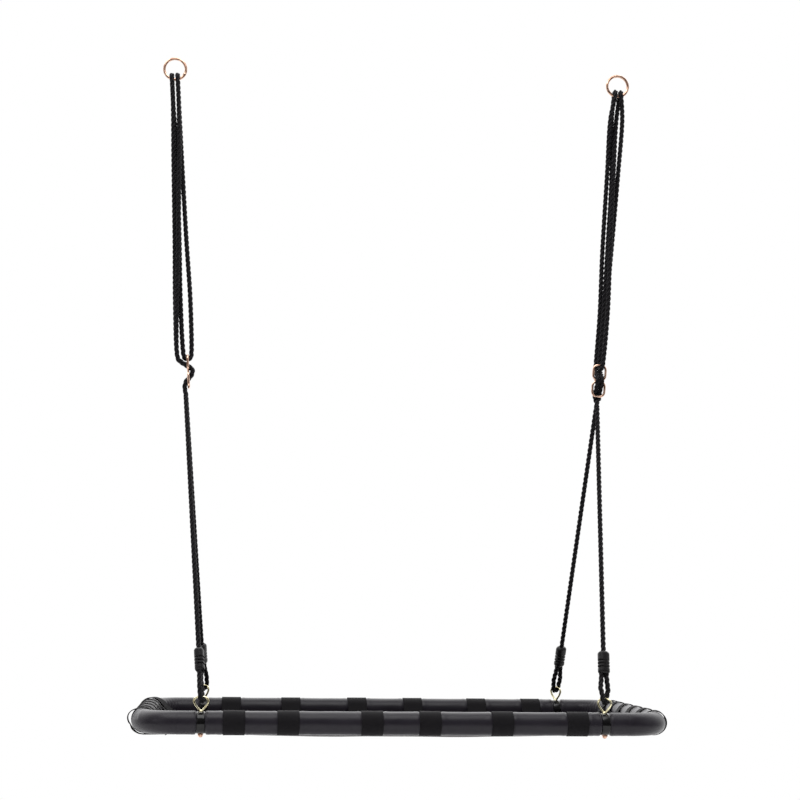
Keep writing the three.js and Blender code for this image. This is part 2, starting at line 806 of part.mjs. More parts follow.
// One turn of the lacing across the bow, from one slot to the next, as
// [share of the turn, outward, up, which way the strap's face looks].
function lacingTurn(slotHeight) {
  const turn = [];
  const middle = new THREE.Vector2(-strapTipOffset, slotHeight - 4);
  const tilt = Math.asin((strapRadius - strapTipRadius) / middle.length());
  const centreLine = Math.atan2(-middle.y, -middle.x);
  const upper = centreLine + Math.PI / 2 + tilt;
  const lower = centreLine - Math.PI / 2 - tilt;
  const add = (share, centre, radius, angle) => {
    const face = onCircle(1, angle);
    turn.push([share, centre.x + radius * face.x, centre.y + radius * face.y, face]);
  };
  const bow = new THREE.Vector2(0, 0);
  const bowSteps = 8;
  add(0, middle, strapTipRadius, Math.PI);
  add(0.02, middle, strapTipRadius, (Math.PI + upper) / 2);
  add(0.04, middle, strapTipRadius, upper);
  for (let i = 0; i <= bowSteps; i++) {
    const angle = upper + ((lower - upper) * i) / bowSteps;
    add(0.28 + (0.44 * i) / bowSteps, bow, strapRadius, angle);
  }
  add(0.96, middle, strapTipRadius, lower);
  add(0.98, middle, strapTipRadius, (lower - Math.PI) / 2);
  return turn;
}

function lacingStrap() {
  const points = [];
  const faces = [];
  for (let k = 0; k < strapTurns; k++) {
    const start = firstSlot + k * strapPitch;
    const slot = bowPoint(start).addScaledVector(bowOutward(start), -strapTipOffset);
    for (const [share, out, above, face] of lacingTurn(matHeight(slot.x, slot.y))) {
      if (k + share > strapTurns) break;
      const distance = start + share * strapPitch;
      const outward = bowOutward(distance);
      const point = bowPoint(distance).addScaledVector(outward, out);
      points.push(point.setZ(above));
      faces.push(outward.clone().multiplyScalar(face.x).setZ(face.y));
    }
  }
  const half = [strapThickness / 2, strapWidth / 2];
  const section = new THREE.Shape([
    new THREE.Vector2(-half[0], -half[1]),
    new THREE.Vector2(half[0], -half[1]),
    new THREE.Vector2(half[0], half[1]),
    new THREE.Vector2(-half[0], half[1]),
  ]);
  return sweep(section, new StrapRoute(points, faces), points.length - 1);
}

for (const side of sides) {
  const strap = piece(seat, side.name + "_lacing_strap", lacingStrap(), blackWebbing);
  strap.rotation.z = side.sign < 0 ? Math.PI : 0;
}

export default root;
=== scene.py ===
# %% [markdown]
# # A platform swing, finished in Blender
# A padded steel frame with a sagging mat hangs from two rings on two long ropes. The measured model is
# loaded first and never changed. Each piece below stands for one or more of its parts.

# %% Load the measured model
import math
import random

import bmesh
import bpy
from mathutils import Matrix, Vector


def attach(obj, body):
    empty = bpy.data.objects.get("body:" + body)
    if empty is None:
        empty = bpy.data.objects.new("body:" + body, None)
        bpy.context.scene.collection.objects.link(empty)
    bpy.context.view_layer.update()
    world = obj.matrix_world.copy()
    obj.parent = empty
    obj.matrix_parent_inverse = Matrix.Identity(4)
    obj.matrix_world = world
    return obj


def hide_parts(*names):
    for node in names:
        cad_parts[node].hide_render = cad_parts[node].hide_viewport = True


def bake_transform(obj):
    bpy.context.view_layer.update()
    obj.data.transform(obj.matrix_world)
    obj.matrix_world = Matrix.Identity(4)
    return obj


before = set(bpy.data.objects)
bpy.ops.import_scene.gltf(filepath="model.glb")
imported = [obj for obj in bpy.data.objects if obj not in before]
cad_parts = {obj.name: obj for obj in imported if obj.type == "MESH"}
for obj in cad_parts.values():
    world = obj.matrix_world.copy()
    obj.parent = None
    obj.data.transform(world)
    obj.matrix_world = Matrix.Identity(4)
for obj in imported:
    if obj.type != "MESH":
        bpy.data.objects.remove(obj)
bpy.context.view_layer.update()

MM = 0.001  # the sizes below are in millimetres, and Blender works in metres

# %% [markdown]
# ## Camera
# A camera is a point, a direction and a lens. The view is from in front, left of the middle and a little
# above the seat, looking slightly up, so the far rail shows just over the near one. The lens is long,
# which keeps the near and far sides of the seat close in size. It is set up first.

# %% Camera
SEAT_Z = -1600.0  # height of the frame tubes' centrelines
camera_place = Vector((-409.2, -4312.2, SEAT_Z + 249.8)) * MM
yaw = math.radians(5.563)
pitch = math.radians(6.767)
roll = math.radians(0.584)
forward = Vector((math.sin(yaw) * math.cos(pitch), math.cos(yaw) * math.cos(pitch), math.sin(pitch)))
level_right = Vector((math.cos(yaw), -math.sin(yaw), 0.0))
level_up = level_right.cross(forward)
right = math.cos(roll) * level_right + math.sin(roll) * level_up
up = math.cos(roll) * level_up - math.sin(roll) * level_right

camera_data = bpy.data.cameras.new("camera")
camera_data.lens = 80.0
camera_data.sensor_width = 36.0
camera = bpy.data.objects.new("camera", camera_data)
bpy.context.collection.objects.link(camera)
camera.matrix_world = Matrix.Translation(camera_place) @ Matrix((right, up, -forward)).transposed().to_4x4()
bpy.context.scene.camera = camera
print("camera at", tuple(round(v, 3) for v in camera_place))

# %% [markdown]
# ## Small helpers
# Colours are written as sRGB hex and turned linear by one function. One function adds a node, sets its
# values and links its inputs. Every material starts from a shader with its plain values set, and what a
# pattern drives is linked to the shader last.

# %% Colour and node helpers
def linear(hex_colour):
    channels = [int(hex_colour[i:i + 2], 16) / 255 for i in (1, 3, 5)]
    return tuple(c / 12.92 if c <= 0.04045 else ((c + 0.055) / 1.055) ** 2.4 for c in channels) + (1.0,)


def add_node(tree, kind, settings=None, values=None, links=None):
    node = tree.nodes.new(kind)
    for key, value in (settings or {}).items():
        setattr(node, key, value)
    for key, value in (values or {}).items():
        node.inputs[key].default_value = value
    for key, source in (links or {}).items():
        tree.links.new(source, node.inputs[key])
    return node


def new_material(name, values):
    material = bpy.data.materials.new(name)
    material.use_nodes = True
    tree = material.node_tree
    shader = tree.nodes["Principled BSDF"]
    for key, value in values.items():
        shader.inputs[key].default_value = value
    return material, tree, shader


def drive(tree, shader, sources):
    for key, source in sources.items():
        tree.links.new(source, shader.inputs[key])


# %% [markdown]
# ## Materials
# Each one is named for what the real piece is made of and how its surface was made. The scale of every
# pattern is set from a size in millimetres.

# %% Metals
def plated_metal(name, colour, dark, roughness):
    # A bright electroplated finish: it mirrors the room, with faint cloudy patches where the bath
    # was uneven and fine scratches from handling.
    material, tree, shader = new_material(name, {"Metallic": 1.0, "Roughness": roughness})
    place = add_node(tree, "ShaderNodeTexCoord").outputs["Object"]
    cloud = add_node(tree, "ShaderNodeTexNoise", None, {"Scale": 1 / (9 * MM), "Detail": 3.0},
                     {"Vector": place}).outputs["Fac"]
    tint = add_node(tree, "ShaderNodeMapRange", None, {1: 0.35, 2: 0.75}, {0: cloud}).outputs[0]
    base = add_node(tree, "ShaderNodeMix", {"data_type": "RGBA"}, {6: linear(colour), 7: linear(dark)},
                    {0: tint}).outputs[2]
    rough = add_node(tree, "ShaderNodeMapRange", None,
                     {1: 0.3, 2: 0.8, 3: roughness * 0.7, 4: roughness * 1.5}, {0: cloud}).outputs[0]
    scratch = add_node(tree, "ShaderNodeTexNoise", None, {"Scale": 1 / (0.8 * MM), "Detail": 4.0},
                       {"Vector": place}).outputs["Fac"]
    relief = add_node(tree, "ShaderNodeBump", None, {"Distance": 0.05 * MM, "Strength": 0.25},
                      {"Height": scratch}).outputs["Normal"]
    drive(tree, shader, {"Base Color": base, "Roughness": rough, "Normal": relief})
    return material


copper_plate = plated_metal("copper_plated_steel_wire", "#dfbca6", "#8f6450", 0.2)
yellow_zinc = plated_metal("yellow_zinc_plated_wire", "#e2dcbc", "#a3966a", 0.22)
frame_steel = plated_metal("drawn_steel_tube", "#9a9da1", "#7d8085", 0.42)


# %% Plastics and foam
def moulded_plastic(name, colour, light, roughness, grain_mm, coat=0.0):
    # Injection-moulded nylon: even colour, a fine sparked grain and slightly rubbed high spots.
    material, tree, shader = new_material(name, {"Roughness": roughness, "Coat Weight": coat,
                                                 "Coat Roughness": 0.12, "IOR": 1.5,
                                                 "Specular IOR Level": 0.22})
    place = add_node(tree, "ShaderNodeTexCoord").outputs["Object"]
    patches = add_node(tree, "ShaderNodeTexNoise", None, {"Scale": 1 / (14 * MM), "Detail": 3.0},
                       {"Vector": place}).outputs["Fac"]
    base = add_node(tree, "ShaderNodeMix", {"data_type": "RGBA"}, {6: linear(colour), 7: linear(light)},
                    {0: patches}).outputs[2]
    grain = add_node(tree, "ShaderNodeTexVoronoi", None, {"Scale": 1 / (grain_mm * MM)},
                     {"Vector": place}).outputs["Distance"]
    relief = add_node(tree, "ShaderNodeBump", None, {"Distance": 0.12 * MM, "Strength": 0.5},
                      {"Height": grain}).outputs["Normal"]
    drive(tree, shader, {"Base Color": base, "Normal": relief})
    return material


black_plastic = moulded_plastic("moulded_black_nylon", "#070608", "#100f11", 0.4, 0.9)
gloss_band = moulded_plastic("glossy_black_banding", "#040304", "#080708", 0.16, 1.6, 0.15)


def foam_skin():
    # Closed-cell foam sleeve with a satin skin: a soft sheen along the top, very fine pores, and
    # slow waves where the extruded tube was not quite round.
    material, tree, shader = new_material("extruded_foam_sleeve_skin",
                                          {"Roughness": 0.36, "IOR": 1.48,
                                           "Specular IOR Level": 0.23})
    place = add_node(tree, "ShaderNodeTexCoord").outputs["Object"]
    cloud = add_node(tree, "ShaderNodeTexNoise", None, {"Scale": 1 / (55 * MM), "Detail": 4.0},
                     {"Vector": place}).outputs["Fac"]
    base = add_node(tree, "ShaderNodeMix", {"data_type": "RGBA"},
                    {6: linear("#1a171d"), 7: linear("#232027")}, {0: cloud}).outputs[2]
    rough = add_node(tree, "ShaderNodeMapRange", None, {1: 0.3, 2: 0.7, 3: 0.3, 4: 0.42},
                     {0: cloud}).outputs[0]
    pores = add_node(tree, "ShaderNodeTexNoise", None, {"Scale": 1 / (1.1 * MM), "Detail": 2.0},
                     {"Vector": place}).outputs["Fac"]
    relief = add_node(tree, "ShaderNodeBump", None, {"Distance": 0.12 * MM, "Strength": 0.35},
                      {"Height": pores}).outputs["Normal"]
    drive(tree, shader, {"Base Color": base, "Roughness": rough, "Normal": relief})
    return material


sleeve_skin = foam_skin()


# %% [markdown]
# Woven and twisted goods carry their own map: along the piece and across it, in metres, written on the
# mesh as an attribute. The pattern then follows every bend and never slides.

# %% Webbing, rope and mat cloth
def along_and_across(tree):
    attribute = add_node(tree, "ShaderNodeAttribute", {"attribute_name": "weave_map"})
    split = add_node(tree, "ShaderNodeSeparateXYZ", None, None, {0: attribute.outputs["Vector"]})
    return attribute.outputs["Vector"], split.outputs["X"], split.outputs["Y"]


def wave_of(tree, source, period, shift=None):
    # A sine wave of one period, in metres, along one coordinate.
    turns = add_node(tree, "ShaderNodeMath", {"operation": "MULTIPLY"}, {1: 2 * math.pi / period},
                     {0: source}).outputs[0]
    if shift is not None:
        turns = add_node(tree, "ShaderNodeMath", {"operation": "ADD"}, None,
                         {0: turns, 1: shift}).outputs[0]
    return add_node(tree, "ShaderNodeMath", {"operation": "SINE"}, None, {0: turns}).outputs[0]


def woven(name, colour, light, rib_mm, yarn_mm, roughness, sheen):
    # Polyester weave: ribs across the piece, yarns along it, and a soft bloom at grazing angles.
    material, tree, shader = new_material(name, {"Roughness": roughness, "Sheen Weight": sheen,
                                                 "Sheen Roughness": 0.4, "IOR": 1.45,
                                                 "Specular IOR Level": 0.14})
    vector, along, across = along_and_across(tree)
    rib = wave_of(tree, along, rib_mm * MM)
    yarn = wave_of(tree, across, yarn_mm * MM)
    product = add_node(tree, "ShaderNodeMath", {"operation": "MULTIPLY"}, None,
                       {0: rib, 1: yarn}).outputs[0]
    weave = add_node(tree, "ShaderNodeMapRange", None, {1: -1.0, 2: 1.0}, {0: product}).outputs[0]
    dust = add_node(tree, "ShaderNodeTexNoise", None, {"Scale": 1 / (22 * MM), "Detail": 5.0},
                    {"Vector": vector}).outputs["Fac"]
    # Painted shade: the colour follows the weave's height, darker in its hollows and lighter on its ridges,
    # and random dust noise is added on top.
    shade_and_noise_tone = add_node(tree, "ShaderNodeMath", {"operation": "MULTIPLY_ADD"}, {1: 0.45, 2: 0.1},
                    {0: weave}).outputs[0]
    shade_and_noise_tone = add_node(tree, "ShaderNodeMath", {"operation": "MULTIPLY_ADD"}, {1: 0.45},
                    {0: dust, 2: shade_and_noise_tone}).outputs[0]
    base = add_node(tree, "ShaderNodeMix", {"data_type": "RGBA"}, {6: linear(colour), 7: linear(light)},
                    {0: shade_and_noise_tone}).outputs[2]
    relief = add_node(tree, "ShaderNodeBump", None, {"Distance": 0.22 * MM, "Strength": 0.5},
                      {"Height": weave}).outputs["Normal"]
    drive(tree, shader, {"Base Color": base, "Normal": relief})
    return material


black_webbing = woven("woven_black_polyester_webbing", "#0a090b", "#171518", 2.4, 3.2, 0.75, 0.02)
mat_cloth = woven("coated_oxford_mat_cloth", "#161315", "#2b2628", 3.0, 3.0, 0.6, 0.04)
seam_thread = woven("bonded_seam_thread", "#161417", "#2c292e", 1.2, 1.2, 0.5, 0.02)


ROPE_DIAMETER = 12.2 * MM
LAY_LENGTH = 38 * MM  # one full turn of a strand, about 3.3 diameters
YARNS_AROUND = 18


def rope_yarn():
    # Three-strand filament rope: each strand is laid from fine yarns that run nearly straight down the
    # rope. Painted shade darkens the colour from each strand's crown into the grooves between strands, and
    # random noise makes the crowns lighter in patches.
    material, tree, shader = new_material("three_strand_filament_rope",
                                          {"Roughness": 0.62, "Sheen Weight": 0.02, "Sheen Roughness": 0.4,
                                           "IOR": 1.46, "Specular IOR Level": 0.14})
    vector, along, across = along_and_across(tree)
    lay = add_node(tree, "ShaderNodeMath", {"operation": "MULTIPLY"},
                   {1: YARNS_AROUND * 2 * math.pi / LAY_LENGTH}, {0: along}).outputs[0]
    yarns = wave_of(tree, across, 1 / YARNS_AROUND, lay)
    height = add_node(tree, "ShaderNodeMapRange", None, {1: -1.0, 2: 1.0}, {0: yarns}).outputs[0]
    # Painted shade mask: 1 on each strand's crown, falling to 0 in the grooves between strands, where the
    # colour is darkest.
    crown_shade_mask = add_node(tree, "ShaderNodeAttribute", {"attribute_name": "crown"}).outputs["Fac"]
    fluff = add_node(tree, "ShaderNodeTexNoise", None, {"Scale": 1 / (2.2 * MM), "Detail": 4.0},
                     {"Vector": add_node(tree, "ShaderNodeTexCoord").outputs["Object"]}).outputs["Fac"]
    shade_and_noise_tone = add_node(tree, "ShaderNodeMath", {"operation": "MULTIPLY"}, None,
                    {0: crown_shade_mask, 1: fluff}).outputs[0]
    shade_and_noise_tone = add_node(tree, "ShaderNodeMath", {"operation": "MULTIPLY"}, {1: 1.3}, {0: shade_and_noise_tone}).outputs[0]
    base = add_node(tree, "ShaderNodeMix", {"data_type": "RGBA"},
                    {6: linear("#050405"), 7: linear("#1e1c21")}, {0: shade_and_noise_tone}).outputs[2]
    relief = add_node(tree, "ShaderNodeBump", None, {"Distance": 0.3 * MM, "Strength": 0.6},
                      {"Height": height}).outputs["Normal"]
    drive(tree, shader, {"Base Color": base, "Normal": relief})
    return material


rope_finish = rope_yarn()
print("materials:", len(bpy.data.materials))

# %% [markdown]
# ## Rope
# A rope is one outline swept along its route. The outline is three round lobes, and turning it as it
# travels lays the three strands. Geometry Nodes do that well: the route is a curve, its tilt is the
# twist, and the outline is bent out of a plain circle by the same arithmetic that joins three circles.

# %% Smooth routes
def smooth(points, step):
    # A centripetal Catmull-Rom curve through the points, then points every step along it.
    pts = [Vector(p) for p in points]
    pts = [pts[0] * 2 - pts[1]] + pts + [pts[-1] * 2 - pts[-2]]
    fine = []
    for i in range(1, len(pts) - 2):
        p0, p1, p2, p3 = pts[i - 1:i + 3]
        t0, t1 = 0.0, max((p1 - p0).length, 1e-9) ** 0.5
        t2 = t1 + max((p2 - p1).length, 1e-9) ** 0.5
        t3 = t2 + max((p3 - p2).length, 1e-9) ** 0.5
        count = max(4, int((p2 - p1).length / (step * 0.5)))
        for k in range(count):
            t = t1 + (t2 - t1) * k / count
            a1 = p0 * ((t1 - t) / (t1 - t0)) + p1 * ((t - t0) / (t1 - t0))
            a2 = p1 * ((t2 - t) / (t2 - t1)) + p2 * ((t - t1) / (t2 - t1))
            a3 = p2 * ((t3 - t) / (t3 - t2)) + p3 * ((t - t2) / (t3 - t2))
            b1 = a1 * ((t2 - t) / (t2 - t0)) + a2 * ((t - t0) / (t2 - t0))
            b2 = a2 * ((t3 - t) / (t3 - t1)) + a3 * ((t - t1) / (t3 - t1))
            fine.append(b1 * ((t2 - t) / (t2 - t1)) + b2 * ((t - t1) / (t2 - t1)))
    fine.append(pts[-2])
    return even_steps(fine, step)


def even_steps(points, step):
    lengths = [0.0]
    for a, b in zip(points, points[1:]):
        lengths.append(lengths[-1] + (b - a).length)
    count = max(2, round(lengths[-1] / step))
    result, j = [], 0
    for i in range(count + 1):
        want = lengths[-1] * i / count
        while j < len(points) - 2 and lengths[j + 1] < want:
            j += 1
        share = (want - lengths[j]) / max(lengths[j + 1] - lengths[j], 1e-12)
        result.append(points[j].lerp(points[j + 1], min(max(share, 0.0), 1.0)))
    return result


def route_length(points):
    return sum((b - a).length for a, b in zip(points, points[1:]))


# %% The rope tree
LOBE_RADIUS = 0.55  # of one strand, as a share of the rope's radius
LOBE_OFFSET = 0.45  # of a strand's centre from the rope's


def socket(tree, name, kind, default=None):
    item = tree.interface.new_socket(name=name, in_out="INPUT", socket_type=kind)
    if default is not None:
        item.default_value = default
    return item


def rope_tree():
    tree = bpy.data.node_groups.new("laid_rope", "GeometryNodeTree")
    socket(tree, "Route", "NodeSocketGeometry")
    socket(tree, "Diameter", "NodeSocketFloat", ROPE_DIAMETER)
    socket(tree, "Lay length", "NodeSocketFloat", LAY_LENGTH)
    socket(tree, "Outline points", "NodeSocketInt", 24)
    socket(tree, "Material", "NodeSocketMaterial")
    tree.interface.new_socket(name="Mesh", in_out="OUTPUT", socket_type="NodeSocketGeometry")
    given = add_node(tree, "NodeGroupInput").outputs

    travelled = add_node(tree, "GeometryNodeSplineParameter").outputs["Length"]
    turns = add_node(tree, "ShaderNodeMath", {"operation": "DIVIDE"}, None,
                     {0: travelled, 1: given["Lay length"]}).outputs[0]
    tilt = add_node(tree, "ShaderNodeMath", {"operation": "MULTIPLY"}, {1: 2 * math.pi},
                    {0: turns}).outputs[0]
    twisted = add_node(tree, "GeometryNodeSetCurveTilt", None, None,
                       {"Curve": given["Route"], "Tilt": tilt}).outputs["Curve"]
    marked = add_node(tree, "GeometryNodeStoreNamedAttribute", {"data_type": "FLOAT", "domain": "POINT"},
                      {"Name": "along"}, {"Geometry": twisted, "Value": travelled}).outputs["Geometry"]

    # The outline is a circle whose radius changes round it, to that of three overlapping circles. How
    # far a point lies from the nearest crown, as an angle, gives its place on the nearest circle.
    half = add_node(tree, "ShaderNodeMath", {"operation": "MULTIPLY"}, {1: 0.5},
                    {0: given["Diameter"]}).outputs[0]
    circle = add_node(tree, "GeometryNodeCurvePrimitiveCircle", None, None,
                      {"Resolution": given["Outline points"], "Radius": half})
    around = add_node(tree, "GeometryNodeSplineParameter").outputs["Factor"]
    angle = add_node(tree, "ShaderNodeMath", {"operation": "MULTIPLY"}, {1: 2 * math.pi},
                     {0: around}).outputs[0]
    from_crown = add_node(tree, "ShaderNodeMath", {"operation": "PINGPONG"}, {1: math.pi / 3},
                          {0: angle}).outputs[0]
    sine = add_node(tree, "ShaderNodeMath", {"operation": "SINE"}, None, {0: from_crown}).outputs[0]
    inner = add_node(tree, "ShaderNodeMath", {"operation": "MULTIPLY"}, {1: LOBE_OFFSET},
                     {0: sine}).outputs[0]
    square = add_node(tree, "ShaderNodeMath", {"operation": "MULTIPLY"}, None,
                      {0: inner, 1: inner}).outputs[0]
    rest = add_node(tree, "ShaderNodeMath", {"operation": "SUBTRACT"}, {0: LOBE_RADIUS ** 2},
                    {1: square}).outputs[0]
    reach = add_node(tree, "ShaderNodeMath", {"operation": "SQRT"}, None, {0: rest}).outputs[0]
    cosine = add_node(tree, "ShaderNodeMath", {"operation": "COSINE"}, None, {0: from_crown}).outputs[0]
    radius = add_node(tree, "ShaderNodeMath", {"operation": "MULTIPLY_ADD"}, {1: LOBE_OFFSET},
                      {0: cosine, 2: reach}).outputs[0]
    here = add_node(tree, "GeometryNodeInputPosition").outputs[0]
    moved = add_node(tree, "ShaderNodeVectorMath", {"operation": "SCALE"}, None,
                     {0: here, "Scale": radius}).outputs[0]
    outline = add_node(tree, "GeometryNodeSetPosition", None, None,
                       {"Geometry": circle.outputs["Curve"], "Position": moved}).outputs[0]
    outline = add_node(tree, "GeometryNodeStoreNamedAttribute", {"data_type": "FLOAT", "domain": "POINT"},
                       {"Name": "around"}, {"Geometry": outline, "Value": around}).outputs[0]
    # How near each outline point lies to a strand's crown, stored as an attribute for the rope's painted
    # shade in the grooves.
    share = add_node(tree, "ShaderNodeMath", {"operation": "DIVIDE"}, {1: math.pi / 3},
                     {0: from_crown}).outputs[0]
    crown = add_node(tree, "ShaderNodeMath", {"operation": "SUBTRACT"}, {0: 1.0}, {1: share}).outputs[0]
    outline = add_node(tree, "GeometryNodeStoreNamedAttribute", {"data_type": "FLOAT", "domain": "POINT"},
                       {"Name": "crown"}, {"Geometry": outline, "Value": crown}).outputs[0]
    swept = add_node(tree, "GeometryNodeCurveToMesh", None, {"Fill Caps": True},
                     {"Curve": marked, "Profile Curve": outline}).outputs[0]
    read = {name: add_node(tree, "GeometryNodeInputNamedAttribute", {"data_type": "FLOAT"}, {"Name": name})
            for name in ("along", "around")}
    joined = add_node(tree, "ShaderNodeCombineXYZ", None, None,
                      {"X": read["along"].outputs[0], "Y": read["around"].outputs[0]}).outputs[0]
    mapped = add_node(tree, "GeometryNodeStoreNamedAttribute",
                      {"data_type": "FLOAT_VECTOR", "domain": "POINT"}, {"Name": "weave_map"},
                      {"Geometry": swept, "Value": joined}).outputs[0]
    soft = add_node(tree, "GeometryNodeSetShadeSmooth", None, None, {0: mapped}).outputs[0]
    real = add_node(tree, "GeometryNodeRealizeInstances", None, None, {0: soft}).outputs[0]
    done = add_node(tree, "GeometryNodeSetMaterial", None, None,
                    {0: real, "Material": given["Material"]}).outputs[0]
    add_node(tree, "NodeGroupOutput", None, None, {0: done})
    return tree


laid_rope = rope_tree()


def set_input(modifier, name, value):
    for item in modifier.node_group.interface.items_tree:
        if item.item_type == "SOCKET" and item.in_out == "INPUT" and item.name == name:
            modifier[item.identifier] = value
            return
    raise KeyError(name)


def bake(source, name):
    # The evaluated result as a plain mesh object, with the source removed.
    graph = bpy.context.evaluated_depsgraph_get()
    mesh = bpy.data.meshes.new_from_object(source.evaluated_get(graph), depsgraph=graph)
    bpy.data.objects.remove(source)
    mesh.name = name
    piece = bpy.data.objects.new(name, mesh)
    bpy.context.collection.objects.link(piece)
    return piece


def run_tree(name, lines, tree, inputs):
    # Draws the lines as curves, runs the tree on them and keeps the result as a plain mesh.
    data = bpy.data.curves.new(name, "CURVE")
    data.dimensions = "3D"
    for line in lines:
        spline = data.splines.new("POLY")
        spline.points.add(len(line) - 1)
        for item, point in zip(spline.points, line):
            item.co = (*point, 1.0)
    source = bpy.data.objects.new(name + "_lines", data)
    bpy.context.collection.objects.link(source)
    modifier = source.modifiers.new(name, "NODES")
    modifier.node_group = tree
    for key, value in inputs.items():
        set_input(modifier, key, value)
    return bake(source, name)


def make_rope(name, points):
    return run_tree(name, [points], laid_rope,
                    {"Diameter": ROPE_DIAMETER, "Lay length": LAY_LENGTH, "Material": rope_finish})


# %% [markdown]
# ## The ropes' routes
# One rope serves each side. From a front corner it rises to the adjuster, weaves through it, climbs to
# the ring, drops back to the adjuster, turns round its top, climbs again, drops again and weaves down to
# the rear corner. The left adjuster has turned a quarter turn, so its loops are edge-on from the front.

# %% Where the hardware is
RING_X = 557.0
RING_RADIUS = 26.5
RING_WIRE = 3.5
RING_FOOT_Z = RING_WIRE - RING_RADIUS - RING_RADIUS
ADJUSTER_X = 507.0
ADJUSTER_DROP = 728.0
BRACKET_X = 454.0
RAIL_Y = 300.0
EYE_TOP = 56.5
EYE_WIRE = 2.5
ADJUSTER_TOP = 39.4  # how high the wire's middle is above the adjuster's
ADJUSTER_GRIP = 3.1  # room for the wire inside the rope's turn
ROPE_CORE = 5.3  # the radius that the routes were laid out for
RING_SLACK = 1.5  # how loosely each turn of rope lies on its wire
BIGHT_SLACK = 0.7
EYE_SLACK = 1.2
lean = math.atan2(RING_X - ADJUSTER_X, ADJUSTER_DROP)
adjuster_down = -ADJUSTER_DROP / math.cos(lean)
SIDES = {"left": -1, "right": 1}
side_turn = {"left": math.pi / 2, "right": 0.0}


def side_frame(side):
    # From a side's leaning axes, with their origin at the ring's foot, to the part's axes, in millimetres.
    sign = SIDES[side]
    return Matrix.Translation((sign * RING_X, 0, RING_FOOT_Z)) @ Matrix.Rotation(sign * lean, 4, "Y")


def at_adjuster(side, point):
    turned = Matrix.Rotation(side_turn[side], 4, "Z") @ Vector(point)
    return turned + Vector((0, 0, adjuster_down))


# %% The strands between ring and adjuster
def weave(across):
    return [(across, 10, -42), (across, 9.2, -34), (across, 5.5, -24), (across, -4.5, -13),
            (across, -10.2, -3), (across, -9.6, 5), (across, 0, 12.7), (across, 12, 21),
            (across, 22, 30), (across, 25, 44)]


def over_ring(x):
    r = ROPE_CORE + RING_WIRE + RING_SLACK
    rise = RING_RADIUS - math.sqrt(RING_RADIUS ** 2 - x ** 2)
    angles = [math.radians(a) for a in (175, 140, 115, 90, 65, 40, 5)]
    return [Vector((x, r * math.cos(a), rise + r * math.sin(a))) for a in angles]


def bight(front, back):
    r = ROPE_CORE + ADJUSTER_GRIP + BIGHT_SLACK
    angles = [math.radians(a) for a in (180, 218, 270, 322, 360)]
    return [(front + (back - front) * i / 4, r * math.cos(a), ADJUSTER_TOP + r * math.sin(a))
            for i, a in enumerate(angles)]


STRANDS = {
    "left": {
        "ring": (7, -7), "across": (-5.3, 5.3), "exit": (-5.3, 5.3), "spread": 7,
        "A": [(60, 7, -10), (200, 2, -13), (400, -9, -12), (560, -20, -8)],
        "B": [(60, -7, -9), (200, -12, -2), (400, -18, 3), (560, -24, 5.5)],
        "C": [(60, 7, 8), (200, 8, 5), (400, 10, 3), (560, 13, 3)],
        "D": [(60, -7, 9), (200, -4, 11), (400, -7, 8), (560, -11, 5)],
    },
    "right": {
        "ring": (7, -7), "across": (5.3, -5.3), "exit": (-1, 1), "spread": 12,
        "A": [(60, 15, -5), (200, 15, 3), (400, 13, 15), (560, 9, 20)],
        "B": [(60, -15, -5), (200, -13, 2), (400, -10, 13), (560, -5, 19)],
        "C": [(60, 3, 9), (200, 1, -8), (400, 5, -9), (560, 9, -9)],
        "D": [(60, -9, 8), (200, 0, 9), (400, 1, 5), (560, 2, 7)],
    },
}


def strand_run(side, front):
    # Where a strand leaves the adjuster, the top of its pear eye, and the way from eye to adjuster.
    strands = STRANDS[side]
    leave = at_adjuster(side, (strands["exit"][0 if front else 1], 8, -66))
    leave.y += -strands["spread"] if front else strands["spread"]
    leave = side_frame(side) @ leave
    top = Vector((SIDES[side] * BRACKET_X, -RAIL_Y if front else RAIL_Y, SEAT_Z + EYE_TOP))
    return leave, top, (leave - top).normalized()


def upper_route(side):
    s = STRANDS[side]
    world = side_frame(side)

    def hang(rows):
        return [Vector((x, y, -down)) for down, x, y in rows]

    def adj(rows):
        return [at_adjuster(side, row) for row in rows]

    local = (adj(weave(s["across"][0])) + hang(s["A"])[::-1] + over_ring(s["ring"][0]) + hang(s["C"])
             + adj(bight(5, 1)) + hang(s["D"])[::-1] + over_ring(s["ring"][1])[::-1] + hang(s["B"])
             + adj(weave(s["across"][1]))[::-1])
    points = [world @ p for p in local]
    first, _, along_first = strand_run(side, True)
    last, _, along_last = strand_run(side, False)
    return [first, first + along_first * 12] + points + [last + along_last * 12, last]


for side in SIDES:
    route = smooth([p * MM for p in upper_route(side)], 2.4 * MM)
    piece = make_rope(side + "_upper_rope_laid", route)
    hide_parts(side + "_upper_rope")
    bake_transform(piece)
    print(side, "upper rope", round(route_length(route), 3), "m,", len(piece.data.polygons), "faces")

# %% [markdown]
# Each corner has a straight strand down into a clamp sleeve, and below the sleeve the rope's eye: two
# legs joined by a turn under the top of the pear-shaped wire eye. The sleeves and wire eyes have each
# turned by hand to a different angle.

# %% Corners
CORNERS = {
    "front_left": {"side": "left", "front": True, "eye_turn": -10, "sleeve_turn": 80},
    "front_right": {"side": "right", "front": True, "eye_turn": -38, "sleeve_turn": 10},
    "rear_left": {"side": "left", "front": False, "eye_turn": -45, "sleeve_turn": 60},
    "rear_right": {"side": "right", "front": False, "eye_turn": -52, "sleeve_turn": 30},
}
SLEEVE_FOOT = 60.0
SLEEVE_LENGTH = 54.0
SOCKET_DEPTH = 22.0
LEG_OFFSET = 5.9


